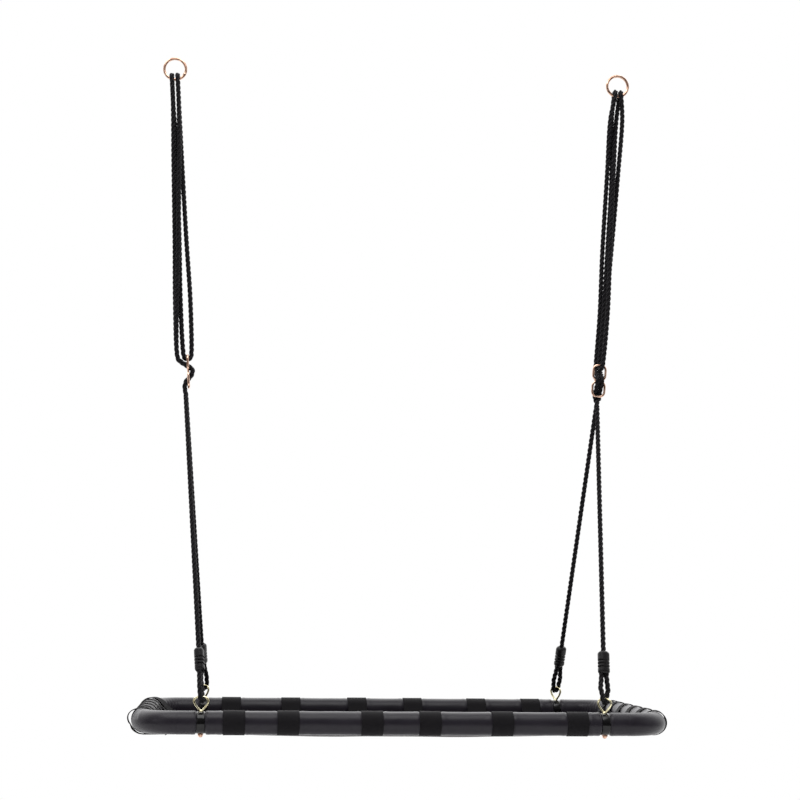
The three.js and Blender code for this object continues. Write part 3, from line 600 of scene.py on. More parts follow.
def corner_axes(corner):
    leave, top, along = strand_run(corner["side"], corner["front"])
    turn = Vector((0, 0, 1)).rotation_difference(along).to_matrix()
    sleeve_turn = math.radians(corner["sleeve_turn"])
    eye_turn = math.radians(corner["eye_turn"])
    across = turn @ Vector((math.cos(sleeve_turn), math.sin(sleeve_turn), 0))
    through = Vector((-math.sin(eye_turn), math.cos(eye_turn), 0))
    if across.dot(through) < 0:
        across = -across
    through = (through - along * through.dot(along)).normalized()
    return leave, top, along, across, through


def eye_route(corner):
    _, top, along, across, through = corner_axes(corner)
    turn_radius = ROPE_CORE + EYE_WIRE + EYE_SLACK

    def leg(sign):
        rows = [(SLEEVE_FOOT + SOCKET_DEPTH - 2, LEG_OFFSET, 0), (SLEEVE_FOOT + 6, LEG_OFFSET, 0),
                (SLEEVE_FOOT - 8, 6.4, 0.1), (SLEEVE_FOOT - 24, 8.6, 0.3), (22, 11.0, 0.55),
                (8, turn_radius + 0.6, 0.95)]
        return [top + along * height + across.lerp(through, mix).normalized() * sign * spread
                for height, spread, mix in rows]

    angles = [math.radians(a) for a in (20, 55, 90, 125, 160)]
    under = [top + through * turn_radius * math.cos(a) - along * turn_radius * math.sin(a) for a in angles]
    return leg(1) + under + leg(-1)[::-1]


for name, corner in CORNERS.items():
    leave, top, along, _, _ = corner_axes(corner)
    end = top + along * (SLEEVE_FOOT + SLEEVE_LENGTH - SOCKET_DEPTH + 2)
    route = even_steps([leave * MM, end * MM], 2.4 * MM)
    strand = make_rope(name + "_rope_laid", route)
    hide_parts(name + "_rope")
    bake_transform(strand)
    route = smooth([p * MM for p in eye_route(corner)], 1.6 * MM)
    eye = make_rope(name + "_rope_eye_laid", route)
    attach(eye, "seat")
    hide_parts(name + "_rope_eye")
    print(name, "strand and eye made")

# %% [markdown]
# ## Skins
# Most of the other pieces are a ring of points moved along something: round wire, foam tube, webbing or a
# turned nut. One helper joins such rows of points into a closed mesh and writes the weave map on it.

# %% Skins over rows of points
def finish_mesh(piece_name, bm, material):
    bmesh.ops.recalc_face_normals(bm, faces=bm.faces)
    mesh = bpy.data.meshes.new(piece_name)
    bm.to_mesh(mesh)
    bm.free()
    mesh.polygons.foreach_set("use_smooth", [True] * len(mesh.polygons))
    mesh.materials.append(material)
    piece = bpy.data.objects.new(piece_name, mesh)
    bpy.context.collection.objects.link(piece)
    return piece


def write_map(mesh, values):
    attribute = mesh.attributes.new("weave_map", "FLOAT_VECTOR", "POINT")
    attribute.data.foreach_set("vector", [c for value in values for c in value])


def skin(piece_name, rows, material, closed_along=False, maps=None):
    # rows: rings of points in metres, each with the same count. Open ends are capped with a fan.
    bm = bmesh.new()
    rings = [[bm.verts.new(p) for p in row] for row in rows]
    count = len(rows[0])
    spans = len(rows) if closed_along else len(rows) - 1
    for i in range(spans):
        a, b = rings[i], rings[(i + 1) % len(rings)]
        for k in range(count):
            m = (k + 1) % count
            bm.faces.new((a[k], a[m], b[m], b[k]))
    if not closed_along:
        for ring in (rings[0], rings[-1]):
            middle = sum((v.co for v in ring), Vector()) / count
            hub = bm.verts.new(middle)
            for k in range(count):
                bm.faces.new((ring[k], ring[(k + 1) % count], hub))
    piece = finish_mesh(piece_name, bm, material)
    if maps is not None:
        flat = [value for row in maps for value in row]
        flat += [(0, 0, 0)] * (len(piece.data.vertices) - len(flat))
        write_map(piece.data, flat)
    return piece


def join_meshes(pieces, piece_name):
    bm = bmesh.new()
    material = pieces[0].data.materials[0]
    for piece in pieces:
        bm.from_mesh(piece.data)
        bpy.data.objects.remove(piece)
    mesh = bpy.data.meshes.new(piece_name)
    bm.to_mesh(mesh)
    bm.free()
    mesh.materials.append(material)
    joined = bpy.data.objects.new(piece_name, mesh)
    bpy.context.collection.objects.link(joined)
    return joined


def smoothstep(x, low=0.0, high=1.0):
    t = min(max((x - low) / (high - low), 0.0), 1.0)
    return t * t * (3 - 2 * t)


def catmull_closed(points, per_span):
    # A centripetal Catmull-Rom curve through a closed ring of points.
    pts = [Vector(p) for p in points]
    n = len(pts)
    out = []
    for i in range(n):
        p0, p1, p2, p3 = (pts[(i + k - 1) % n] for k in range(4))
        t1 = (p1 - p0).length ** 0.5
        t2 = t1 + (p2 - p1).length ** 0.5
        t3 = t2 + (p3 - p2).length ** 0.5
        for k in range(per_span):
            t = t1 + (t2 - t1) * k / per_span
            a1 = p0 * ((t1 - t) / t1) + p1 * (t / t1)
            a2 = p1 * ((t2 - t) / (t2 - t1)) + p2 * ((t - t1) / (t2 - t1))
            a3 = p2 * ((t3 - t) / (t3 - t2)) + p3 * ((t - t2) / (t3 - t2))
            b1 = a1 * ((t2 - t) / t2) + a2 * (t / t2)
            b2 = a2 * ((t3 - t) / (t3 - t1)) + a3 * ((t - t1) / (t3 - t1))
            out.append(b1 * ((t2 - t) / (t2 - t1)) + b2 * ((t - t1) / (t2 - t1)))
    return out


def wire_loop(points, radius, plane_normal, around=20, swell=None):
    # Rows of points for round wire bent in a plane. swell adds to the radius at each step.
    rows = []
    n = len(points)
    for i, p in enumerate(points):
        tangent = (points[(i + 1) % n] - points[i - 1]).normalized()
        side = tangent.cross(plane_normal).normalized()
        r = radius + (swell(i / n) if swell else 0.0)
        rows.append([p + side * (r * math.cos(2 * math.pi * k / around))
                     + plane_normal * (r * math.sin(2 * math.pi * k / around)) for k in range(around)])
    return rows


def in_metres(rows):
    return [[p * MM for p in row] for row in rows]


def placed(rows, matrix):
    return [[(matrix @ p) * MM for p in row] for row in rows]


# %% [markdown]
# ## Rings and adjusters
# A ring is round bar bent to a circle and butt-welded, which leaves a low bead. An adjuster is two oval
# loops of the same kind of wire, welded where their sides touch. Both are then plated together.

# %% Rings
def ring_swell(share):
    bead = math.exp(-((share - 0.27) * 2 * math.pi * RING_RADIUS / 2.6) ** 2)
    return 0.45 * bead * (1 + 0.25 * math.sin(share * 900))


for side, sign in SIDES.items():
    points = [Vector((RING_RADIUS * math.cos(a), 0, RING_RADIUS * math.sin(a)))
              for a in (2 * math.pi * i / 160 for i in range(160))]
    rows = wire_loop(points, RING_WIRE, Vector((0, 1, 0)), 28, ring_swell)
    place = Matrix.Translation((sign * RING_X, 0, RING_WIRE - RING_RADIUS))
    place = place @ Matrix.Rotation(0.0 if sign > 0 else 2.2, 4, "Y")
    piece = skin(side + "_ring_welded", placed(rows, place), copper_plate, closed_along=True)
    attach(piece, "hanging_rings")
    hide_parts(side + "_ring")
print("rings made")

# %% Adjusters
LOOP_HALF_WIDTH = 15.2
LOOP_HEIGHT = 38.0
LOOP_OFFSET = 1.4
ADJUSTER_WIRE = 2.8


def loop_points(direction):
    w, h = LOOP_HALF_WIDTH, LOOP_HEIGHT
    half = [(0, 0), (w * 0.62, h * 0.05), (w * 0.95, h * 0.22), (w, h * 0.5), (w * 0.95, h * 0.78),
            (w * 0.62, h * 0.95)]
    outline = half + [(-x, h - z) for x, z in half]
    return catmull_closed([(x, 0, direction * (z + LOOP_OFFSET)) for x, z in outline], 10)


def weld_bead(middle, size, seed):
    # A lumpy fillet of weld, from a ball with its points pushed in and out.
    rows = []
    draw = random.Random(seed)
    phase = draw.random() * 6
    for i in range(1, 10):
        polar = math.pi * i / 10
        ring = []
        for k in range(16):
            turn = 2 * math.pi * k / 16
            lump = 1 + 0.08 * math.sin(3 * turn + phase + 4 * polar)
            ring.append(Vector((size[0] * math.sin(polar) * math.cos(turn) * lump,
                                size[1] * math.sin(polar) * math.sin(turn) * lump,
                                size[2] * math.cos(polar))) + Vector(middle))
        rows.append(ring)
    return rows


for side in SIDES:
    place = (side_frame(side) @ Matrix.Translation((0, 0, adjuster_down))
             @ Matrix.Rotation(side_turn[side], 4, "Z"))
    loops = [skin("loop", placed(wire_loop(loop_points(d), ADJUSTER_WIRE, Vector((0, 1, 0)), 22), place),
                  copper_plate, closed_along=True) for d in (1, -1)]
    beads = [skin("bead", placed(weld_bead((x, 0, 0), (2.6, 2.3, 1.9), i), place), copper_plate)
             for i, x in enumerate((-9.3, 9.3))]
    piece = join_meshes(loops + beads, side + "_adjuster_wire")
    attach(piece, side + "_adjuster")
    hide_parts(side + "_adjuster")
print("adjusters made")

# %% [markdown]
# ## Corner hardware
# A pear-shaped eye of bright zinc-plated wire stands on each corner. Its shank passes down through a
# glossy saddle band, the foam and the tube, and a dome nut holds it from below.

# %% Pear eyes, bands and nuts
EYE_FOOT = 24.0
GROOVE_RADIUS = 22.4
GROOVE_FLAT = 9.2  # half the width of the foam's groove at its floor, and then at its lips
GROOVE_LIPS = 13.0
BAND_INNER = GROOVE_RADIUS + 0.3
BAND_OUTER = BAND_INNER + 1.5
BAND_WIDTH = 18.0
NUT_TOP = -23.3
NUT_HEIGHT = 9.0
NUT_RADIUS = 6.8
NUT_FLAT = 5.95


def pear_points():
    half = [(0, EYE_FOOT), (7, 31), (13.2, 39), (16, 46), (14, 52.4), (8, 55.8)]
    ring = half + [(0, EYE_TOP)] + [(-x, z) for x, z in half[:0:-1]]
    return catmull_closed([(x, 0, z) for x, z in ring], 9)


def lathe(outline, around=40, radius_at=None):
    # outline: (radius, height) from bottom to top. radius_at may turn a round section into another.
    rows = []
    for radius, height in outline:
        ring = []
        for k in range(around):
            angle = 2 * math.pi * k / around
            r = radius_at(radius, angle) if radius_at else radius
            ring.append(Vector((r * math.cos(angle), r * math.sin(angle), height)))
        rows.append(ring)
    return rows


def nut_section(radius, angle):
    # A hexagon whose corners are rounded off where the turned chamfer cuts them.
    hexagon = NUT_FLAT / math.cos((angle + math.pi / 6) % (math.pi / 3) - math.pi / 6)
    return min(radius, hexagon)


dome = [(0.15, NUT_TOP - NUT_HEIGHT)]
for i in range(1, 12):
    turn = i * math.pi / 2 / 11
    dome.append((5.1 * math.sin(turn), NUT_TOP - NUT_HEIGHT + 4.6 * (1 - math.cos(turn))))
hexagon_top = [(5.3, NUT_TOP - 4.35), (6.2, NUT_TOP - 4.1), (NUT_RADIUS, NUT_TOP - 3.7),
               (NUT_RADIUS, NUT_TOP - 0.7), (6.3, NUT_TOP - 0.3), (6.0, NUT_TOP), (0.2, NUT_TOP)]
nut_rows = lathe(dome + hexagon_top, 60, nut_section)

bevel = 0.45
band_outline = [(BAND_INNER, -BAND_WIDTH / 2 + bevel), (BAND_INNER + bevel, -BAND_WIDTH / 2),
                (BAND_OUTER - bevel, -BAND_WIDTH / 2), (BAND_OUTER, -BAND_WIDTH / 2 + bevel)]
band_outline += [(BAND_OUTER + 0.25 * math.sin(math.pi * i / 6), BAND_WIDTH * (i / 6 - 0.5) * 0.92)
                 for i in range(1, 6)]
band_outline += [(r, -z) for r, z in band_outline[3::-1]]


def band_rows():
    rows = []
    for k in range(72):
        angle = 2 * math.pi * k / 72
        rows.append([Vector((z, r * math.cos(angle), r * math.sin(angle))) for r, z in band_outline])
    return rows


shank_outline = [(3.2, NUT_TOP - 5), (4, NUT_TOP - 4), (4, 20), (4.4, 23), (3.6, EYE_FOOT + 2.4),
                 (1.6, EYE_FOOT + 4.6), (0.4, EYE_FOOT + 5.2)]
for name, corner in CORNERS.items():
    sign_x = SIDES[corner["side"]]
    sign_y = -1 if corner["front"] else 1
    place = Matrix.Translation((sign_x * BRACKET_X, sign_y * RAIL_Y, SEAT_Z))
    turned = place @ Matrix.Rotation(math.radians(corner["eye_turn"]), 4, "Z")
    wire = skin("wire", placed(wire_loop(pear_points(), EYE_WIRE, Vector((0, 1, 0)), 20), turned),
                yellow_zinc, closed_along=True)
    shank = skin("shank", placed(lathe(shank_outline, 28), turned), yellow_zinc)
    eye = join_meshes([wire, shank], name + "_pear_eye")
    band = skin(name + "_gloss_band", placed(band_rows(), place), gloss_band, closed_along=True)
    nut = skin(name + "_acorn_nut", placed(nut_rows, place), copper_plate)
    for piece, node, finish in ((eye, "_eye_bolt", "yellow_zinc"), (band, "_saddle_band", "black_plastic"),
                                (nut, "_dome_nut", "copper_plate")):
        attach(piece, "seat")
        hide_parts(name + node)
print("eyes, bands and nuts made")

# %% [markdown]
# Each clamp sleeve is moulded straight on to the rope: an oval block with sloped shoulders, three grooves
# below the middle, and a fine parting line where the two halves of the mould met.

# %% Clamp sleeves
SLEEVE_LONG = 13.5
SLEEVE_SHORT = 11.0


def sleeve_share(height):
    # Share of the full width at a height: rounded shoulders at the ends, and three V grooves.
    ends = min(height, SLEEVE_LENGTH - height)
    share = 0.66 + 0.34 * math.sin(min(ends / 6.5, 1.0) * math.pi / 2) ** 0.8
    for middle in (15, 23, 31):
        share -= 0.24 * smoothstep(2.1 - abs(height - middle), 0.0, 1.5)
    return share


def sleeve_rows():
    rows = []
    heights = [0.0, 0.25] + [0.75 + i * 0.75 for i in range(70)] + [SLEEVE_LENGTH - 0.25, SLEEVE_LENGTH]
    for height in heights:
        share = sleeve_share(height)
        row = []
        for k in range(56):
            angle = 2 * math.pi * k / 56
            c, s = math.cos(angle), math.sin(angle)
            # A superellipse: flatter faces than an oval, with full, round ends.
            r = (abs(c / SLEEVE_LONG) ** 2.5 + abs(s / SLEEVE_SHORT) ** 2.5) ** (-1 / 2.5) * share
            r += 0.22 * math.exp(-(math.sin(angle) * r / 0.7) ** 2)
            row.append(Vector((r * c, r * s, height)))
        rows.append(row)
    return rows


for name, corner in CORNERS.items():
    _, top, along, _, _ = corner_axes(corner)
    stand = Matrix.Translation(top + along * SLEEVE_FOOT)
    stand = stand @ Vector((0, 0, 1)).rotation_difference(along).to_matrix().to_4x4()
    stand = stand @ Matrix.Rotation(math.radians(corner["sleeve_turn"]), 4, "Z")
    piece = skin(name + "_moulded_sleeve", placed(sleeve_rows(), stand), black_plastic)
    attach(piece, "seat")
    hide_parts(name + "_clamp_sleeve")
print("clamp sleeves made")

# %% [markdown]
# ## Frame tubes and foam
# The steel tubes keep their measured shape. The foam round them is soft: a saddle band or a tight strap
# presses it in, it swells a little beside each one, and it creases on the inside of the bends.

# %% Steel tubes
for name in ("front_rail", "rear_rail", "left_bow", "right_bow"):
    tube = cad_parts[name].data
    tube.materials.clear()
    tube.materials.append(frame_steel)

# %% Rail sleeves
FOAM_RADIUS = 26.0
FOAM_BORE = 16.7
BOW_X = 584.0
BEND_RADIUS = 76.0
JOINT_X = BOW_X - BEND_RADIUS
BEND_Y = RAIL_Y - BEND_RADIUS
TAB_WIDTH = 48.0
FRONT_TAB_X = [-381, -261, -74, 56, 219, 390]
REAR_TAB_X = [-384, -233, -64, 79, 244, 385]


def rolled_end(from_end):
    # How far the foam's cut edge is rounded in, close to an end. The butt joint is glued, so it is slight.
    return 0.12 * (1 - math.sqrt(max(0.0, 1 - (1 - min(from_end / 1.2, 1.0)) ** 2)))


def uneven(a, b, seed):
    # A slow wave of a few tenths of a millimetre, as extruded foam has.
    return (0.22 * math.sin(a / 37 + seed) * math.cos(b * 2 + seed * 1.7)
            + 0.16 * math.sin(a / 13.3 + b * 3 + seed * 2.3))


def rail_radius(x, angle, tabs, seed):
    r = FOAM_RADIUS + uneven(x, angle, seed) * 0.6
    off = abs(abs(x) - BRACKET_X)
    r -= (FOAM_RADIUS - GROOVE_RADIUS) * (1 - smoothstep(off, GROOVE_FLAT, GROOVE_LIPS))
    r += 0.25 * math.exp(-((off - 17) / 4.0) ** 2)
    for tab in tabs:
        near = abs(x - tab)
        r -= 0.9 * (1 - smoothstep(near, TAB_WIDTH / 2 - 2, TAB_WIDTH / 2 + 4))
        r += 0.45 * math.exp(-((near - TAB_WIDTH / 2 - 7) / 4.5) ** 2)
    return r - rolled_end(JOINT_X - abs(x))


def rail_sleeve(piece_name, tabs, y, seed):
    end = JOINT_X - 0.04
    stations = [-end + 2 * end * i / 560 for i in range(561)]
    stations = sorted(stations + [s * (end - d) for s in (-1, 1) for d in (0.15, 0.45, 0.9)])
    rows = []
    for k in range(64):
        angle = 2 * math.pi * k / 64
        line = [(x, rail_radius(x, angle, tabs, seed)) for x in stations]
        line += [(end, FOAM_BORE), (-end, FOAM_BORE)]
        rows.append([Vector((x, y + r * math.cos(angle), SEAT_Z + r * math.sin(angle))) for x, r in line])
    return skin(piece_name, in_metres(rows), sleeve_skin, closed_along=True)


for name, y, tabs, seed in (("front", -RAIL_Y, FRONT_TAB_X, 1.0), ("rear", RAIL_Y, REAR_TAB_X, 2.6)):
    piece = rail_sleeve(name + "_rail_sleeve", tabs, y, seed)
    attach(piece, "seat")
    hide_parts(name + "_rail_foam")
    print(name, "rail sleeve", len(piece.data.polygons), "faces")

# %% The bow's route and its lacing
BOW_HALF = BEND_Y + BEND_RADIUS * math.pi / 2
STRAP_WIDTH = 25.0
STRAP_THICKNESS = 2.0
STRAP_RADIUS = FOAM_RADIUS + 0.9 + STRAP_THICKNESS / 2
STRAP_TIP_RADIUS = 5.0
STRAP_TIP_OFFSET = 52.0
STRAP_PITCH = 97.0
STRAP_TURNS = 5.5
SLOT_SHARE = 0.04  # of one turn of the strap: bent round the slot's edge, rising to the foam, round it
RISE_SHARE = 0.24
ROUND_SHARE = 0.44
FIRST_SLOT = -STRAP_TURNS * STRAP_PITCH / 2 - 16.0
MAT_HALF_LENGTH = 545.0
MAT_HALF_WIDTH = 262.0
MAT_EDGE_Z = -18.0
MAT_SAG = 28.0


def bow_point(distance):
    bend = (abs(distance) - BEND_Y) / BEND_RADIUS
    if bend <= 0:
        return Vector((BOW_X, distance, 0))
    turn = min(bend, math.pi / 2)
    y = math.copysign(BEND_Y + BEND_RADIUS * math.sin(turn), distance)
    return Vector((JOINT_X + BEND_RADIUS * math.cos(turn), y, 0))


def bow_outward(distance):
    bend = max((abs(distance) - BEND_Y) / BEND_RADIUS, 0)
    return Vector((math.cos(bend), math.copysign(math.sin(bend), distance), 0))


def mat_height(x, y):
    # Deepest in the middle, and flat along most of its length.
    along = 1 - min(abs(x) / MAT_HALF_LENGTH, 1.0) ** 5
    return MAT_EDGE_Z - MAT_SAG * along * (1 - (y / MAT_HALF_WIDTH) ** 2)


def lacing_angles(slot_height):
    # Where the strap meets and leaves the bow, as angles round the bow's section.
    middle = (-STRAP_TIP_OFFSET, slot_height - 4)
    reach = math.hypot(*middle)
    tilt = math.asin((STRAP_RADIUS - STRAP_TIP_RADIUS) / reach)
    towards = math.atan2(-middle[1], -middle[0])
    return middle, towards + math.pi / 2 + tilt, towards - math.pi / 2 - tilt


def slot_place(k):
    start = FIRST_SLOT + k * STRAP_PITCH
    slot = bow_point(start) - bow_outward(start) * STRAP_TIP_OFFSET
    return start, mat_height(slot.x, slot.y)


# %% Bow sleeves
def bow_radius(distance, angle, seed):
    r = FOAM_RADIUS + uneven(distance, angle, seed) * 0.6
    for k in range(6):
        start, height = slot_place(k)
        _, upper, lower = lacing_angles(height)
        turn = angle if angle < math.pi else angle - 2 * math.pi
        share = (upper - turn) / (upper - lower)
        if -0.02 < share < (1.02 if k < 5 else 0.55):
            near = abs(distance - start - STRAP_PITCH * (SLOT_SHARE + RISE_SHARE + ROUND_SHARE * share))
            r -= 0.8 * (1 - smoothstep(near, STRAP_WIDTH / 2 - 1.5, STRAP_WIDTH / 2 + 3))
            r += 0.45 * math.exp(-((near - STRAP_WIDTH / 2 - 6) / 4) ** 2)
    bend = smoothstep(abs(distance), BEND_Y + 6, BEND_Y + 30) * smoothstep(BOW_HALF - abs(distance), 4, 30)
    inside = max(-math.cos(angle), 0) ** 2
    crease = abs(math.sin(distance * math.pi / 11 + 0.6 * math.sin(distance / 17))) ** 0.6
    r -= bend * inside * 1.5 * (1 - crease)
    return r - rolled_end(BOW_HALF - abs(distance))


def bow_sleeve(side, seed):
    end = BOW_HALF - 0.04
    stations = [-end + 2 * end * i / 420 for i in range(421)]
    stations = sorted(stations + [s * (end - d) for s in (-1, 1) for d in (0.15, 0.45, 0.9)])
    flip = Matrix.Rotation(math.pi if side == "left" else 0.0, 4, "Z")
    rows = []
    for k in range(64):
        angle = 2 * math.pi * k / 64
        line = [(d, bow_radius(d, angle, seed)) for d in stations]
        line += [(end - 2 * end * i / 70, FOAM_BORE) for i in range(71)]
        rows.append([flip @ (bow_point(d) + bow_outward(d) * (r * math.cos(angle))
                             + Vector((0, 0, SEAT_Z + r * math.sin(angle)))) for d, r in line])
    return skin(side + "_bow_sleeve", in_metres(rows), sleeve_skin, closed_along=True)


for side, seed in (("left", 4.1), ("right", 5.3)):
    piece = bow_sleeve(side, seed)
    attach(piece, "seat")
    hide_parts(side + "_bow_foam")
    print(side, "bow sleeve", len(piece.data.polygons), "faces")

# %% [markdown]
# ## Webbing
# Flat webbing has a thick woven edge and turns sharply, so each piece is a thin rounded section carried
# along its own path. A tab goes round the foam with its two tails sewn to the mat. A lacing strap winds
# round each end tube and through slots in the mat, and at one corner it hangs slack.

# %% Ribbon helper
def ribbon_section(width, thickness):
    # A flat outline with swollen, rounded edges: (out of the face, across the ribbon, map position).
    half, t = width / 2, thickness / 2
    top = [(t * 0.82, half * s) for s in (-0.78, -0.52, -0.26, 0.0, 0.26, 0.52, 0.78)]
    edge = [(t, half * 0.9), (t * 0.95, half * 0.96), (t * 0.5, half), (-t * 0.5, half),
            (-t * 0.95, half * 0.96), (-t, half * 0.9)]
    return top + edge + [(-n, -a) for n, a in top] + [(-n, -a) for n, a in edge]


def ribbon(piece_name, points, faces, width, thickness, material, matrix=None):
    # points and the way the face looks at each, in millimetres.
    section = ribbon_section(width, thickness)
    rows, maps = [], []
    travelled = 0.0
    last = len(points) - 1
    for i, (p, face) in enumerate(zip(points, faces)):
        if i:
            travelled += (p - points[i - 1]).length
        tangent = (points[min(i + 1, last)] - points[max(i - 1, 0)]).normalized()
        side = tangent.cross(face).normalized()
        normal = side.cross(tangent).normalized()
        rows.append([p + normal * n + side * a for n, a in section])
        maps.append([(travelled * MM, (a + (0.3 * thickness if n < 0 else 0)) * MM, 0) for n, a in section])
    rows = placed(rows, matrix) if matrix else in_metres(rows)
    return skin(piece_name, rows, material, maps=maps)


# %% Tabs
TAB_THICKNESS = 1.8
TAB_TAIL_END = 62.0
MAT_THICKNESS = 3.0


def tab_line(bulge, x):
    # Across the rail, (towards the middle of the seat, up), from the upper tail's end to the lower's.
    radius = FOAM_RADIUS - 0.6 + TAB_THICKNESS / 2
    edge_at = RAIL_Y - MAT_HALF_WIDTH
    off = MAT_THICKNESS / 2 + 0.3 + TAB_THICKNESS / 2
    edge_z = mat_height(x, MAT_HALF_WIDTH)
    end_z = mat_height(x, RAIL_Y - TAB_TAIL_END)

    def touch(z, direction):
        return math.atan2(z, edge_at) + direction * math.acos(radius / math.hypot(edge_at, z))

    start = touch(edge_z + off, 1)
    stop = touch(edge_z - off, -1) + 2 * math.pi
    line = [(TAB_TAIL_END + (edge_at - TAB_TAIL_END) * i / 10, end_z + off + (edge_z - end_z) * i / 10)
            for i in range(10)]
    arc = []
    for i in range(61):
        angle = start + (stop - start) * i / 60
        r = radius + bulge * math.sin(math.pi * i / 60)
        arc.append((r * math.cos(angle), r * math.sin(angle)))
    above = [(edge_at + (arc[0][0] - edge_at) * i / 6, edge_z + off + (arc[0][1] - edge_z - off) * i / 6)
             for i in range(6)]
    below = [(arc[-1][0] + (edge_at - arc[-1][0]) * i / 6, arc[-1][1] + (edge_z - off - arc[-1][1]) * i / 6)
             for i in range(1, 7)]
    tail = [(edge_at + (TAB_TAIL_END - edge_at) * i / 10, edge_z - off + (end_z - edge_z) * i / 10)
            for i in range(1, 11)]
    return line + above + arc + below + tail


tab_draw = random.Random(11)
tab_places = []
for row, sign, places in (("front", -1, FRONT_TAB_X), ("rear", 1, REAR_TAB_X)):
    for i, x in enumerate(places, 1):
        skew = math.radians(tab_draw.uniform(-1.4, 1.4))
        bulge = tab_draw.uniform(0.4, 1.3)
        line = tab_line(bulge, x)
        points = [Vector((0, u, z)) for u, z in line]
        last = len(points) - 1
        faces = []
        for k in range(len(points)):
            t = (points[min(k + 1, last)] - points[max(k - 1, 0)]).normalized()
            faces.append(Vector((0, t.z, -t.y)) * -1)
        place = (Matrix.Translation((x, sign * RAIL_Y, SEAT_Z)) @ Matrix.Rotation(skew, 4, "Z")
                 @ Matrix.Rotation(math.pi if sign > 0 else 0.0, 4, "Z"))
        piece = ribbon(f"{row}_tab_{i}_webbing", points, faces, TAB_WIDTH, TAB_THICKNESS, black_webbing,
                       place)
        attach(piece, "seat")
        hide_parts(f"{row}_tab_{i}")
        tab_places.append((place, x))
print("tabs made:", len(tab_places))

# %% Lacing straps
def strap_turn(k):
    # One turn, as (distance along the bow, outward, up, face angle).
    start, slot_height = slot_place(k)
    middle, upper, lower = lacing_angles(slot_height)
    turn = []

    def add(share, centre, radius, angle):
        turn.append((start + share * STRAP_PITCH, centre[0] + radius * math.cos(angle),
                     centre[1] + radius * math.sin(angle), angle))

    def straight(t, angle):
        # From the slot's edge, at t = 0, to the foam, at t = 1.
        reach = (1 - t) * STRAP_TIP_RADIUS + t * STRAP_RADIUS
        return ((1 - t) * middle[0], (1 - t) * middle[1]), reach, angle

    for i in range(7):
        add(SLOT_SHARE * i / 6, middle, STRAP_TIP_RADIUS, math.pi + (upper - math.pi) * i / 6)
    for i in range(1, 6):
        add(SLOT_SHARE + RISE_SHARE * i / 6, *straight(i / 6, upper))
    onto_foam = SLOT_SHARE + RISE_SHARE
    for i in range(37):
        add(onto_foam + ROUND_SHARE * i / 36, (0, 0), STRAP_RADIUS, upper + (lower - upper) * i / 36)
    for i in range(1, 6):
        add(onto_foam + ROUND_SHARE + RISE_SHARE * i / 6, *straight(1 - i / 6, lower))
    for i in range(6):
        add(1 - SLOT_SHARE * (1 - i / 6), middle, STRAP_TIP_RADIUS, lower + (-math.pi - lower) * i / 6)
    return turn


def lacing(side):
    slack = 7.5 if side == "left" else 3.0
    points, faces = [], []
    for k in range(6):
        start = slot_place(k)[0]
        for distance, out, above, angle in strap_turn(k):
            if k == 5 and angle < -2.0:
                break
            if k == 5:
                # The last turn runs straight over, then its tail slants forward under the corner. It is
                # loose and stands off the foam.
                share = (distance - start) / STRAP_PITCH
                distance = start + STRAP_PITCH * (0.1 * share + 0.45 * smoothstep(-angle, 0.3, 1.9))
                lift = slack * math.sin(math.pi * min(max((1.25 - angle) / 1.9, 0.0), 1.0)) ** 2 + 0.4
                out += lift * math.cos(angle)
                above += lift * math.sin(angle)
            outward = bow_outward(distance)
            p = bow_point(distance) + outward * out
            points.append(Vector((p.x, p.y, above)))
            face = outward * math.cos(angle)
            faces.append(Vector((face.x, face.y, math.sin(angle))))
    return points, faces


for side in SIDES:
    points, faces = lacing(side)
    place = Matrix.Translation((0, 0, SEAT_Z)) @ Matrix.Rotation(math.pi if side == "left" else 0.0, 4, "Z")
    piece = ribbon(side + "_lacing_webbing", points, faces, STRAP_WIDTH, STRAP_THICKNESS, black_webbing,
                   place)
    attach(piece, "seat")
    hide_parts(side + "_lacing_strap")
    print(side, "lacing", round(route_length(points)), "mm")

# %% [markdown]
# ## Mat
# The mat is one coated cloth with turned hems. Along its long edges the tabs pull it out and the cloth
# between them draws in. It is built as a grid whose height and edge follow those pulls, given its
# thickness, cut for the slots, and then each slot gets a bound rim.

# %% The mat's surface
MAT_STEPS = (300, 140)


def edge_pull(x, y):
    # 1 at a tab, 0 halfway between two tabs.
    places = FRONT_TAB_X if y < 0 else REAR_TAB_X
    near = min(abs(x - place) for place in places)
    return 1 - smoothstep(near, 20, 62)


def mat_surface(x, y):
    z = mat_height(x, y)
    edge = MAT_HALF_WIDTH - abs(y)
    fade = math.exp(-edge / 60)
    loose = 1 - edge_pull(x, y)
    z -= 3.2 * loose * fade
    places = FRONT_TAB_X if y < 0 else REAR_TAB_X
    tension = sum(math.exp(-((x - place) / 30) ** 2) for place in places)
    z += 1.0 * math.sin(x / 6.4) * tension * math.exp(-abs(edge - 45) / 40)
    z += 0.9 * math.sin(x / 47 + y / 70) * math.cos(y / 39) * (1 - fade)
    end = MAT_HALF_LENGTH - abs(x)
    z += 0.9 * math.sin(y / 7.5) * math.exp(-abs(end - 60) / 35) * math.exp(-edge / 300)
    return z


MAT_CORNER = 40.0


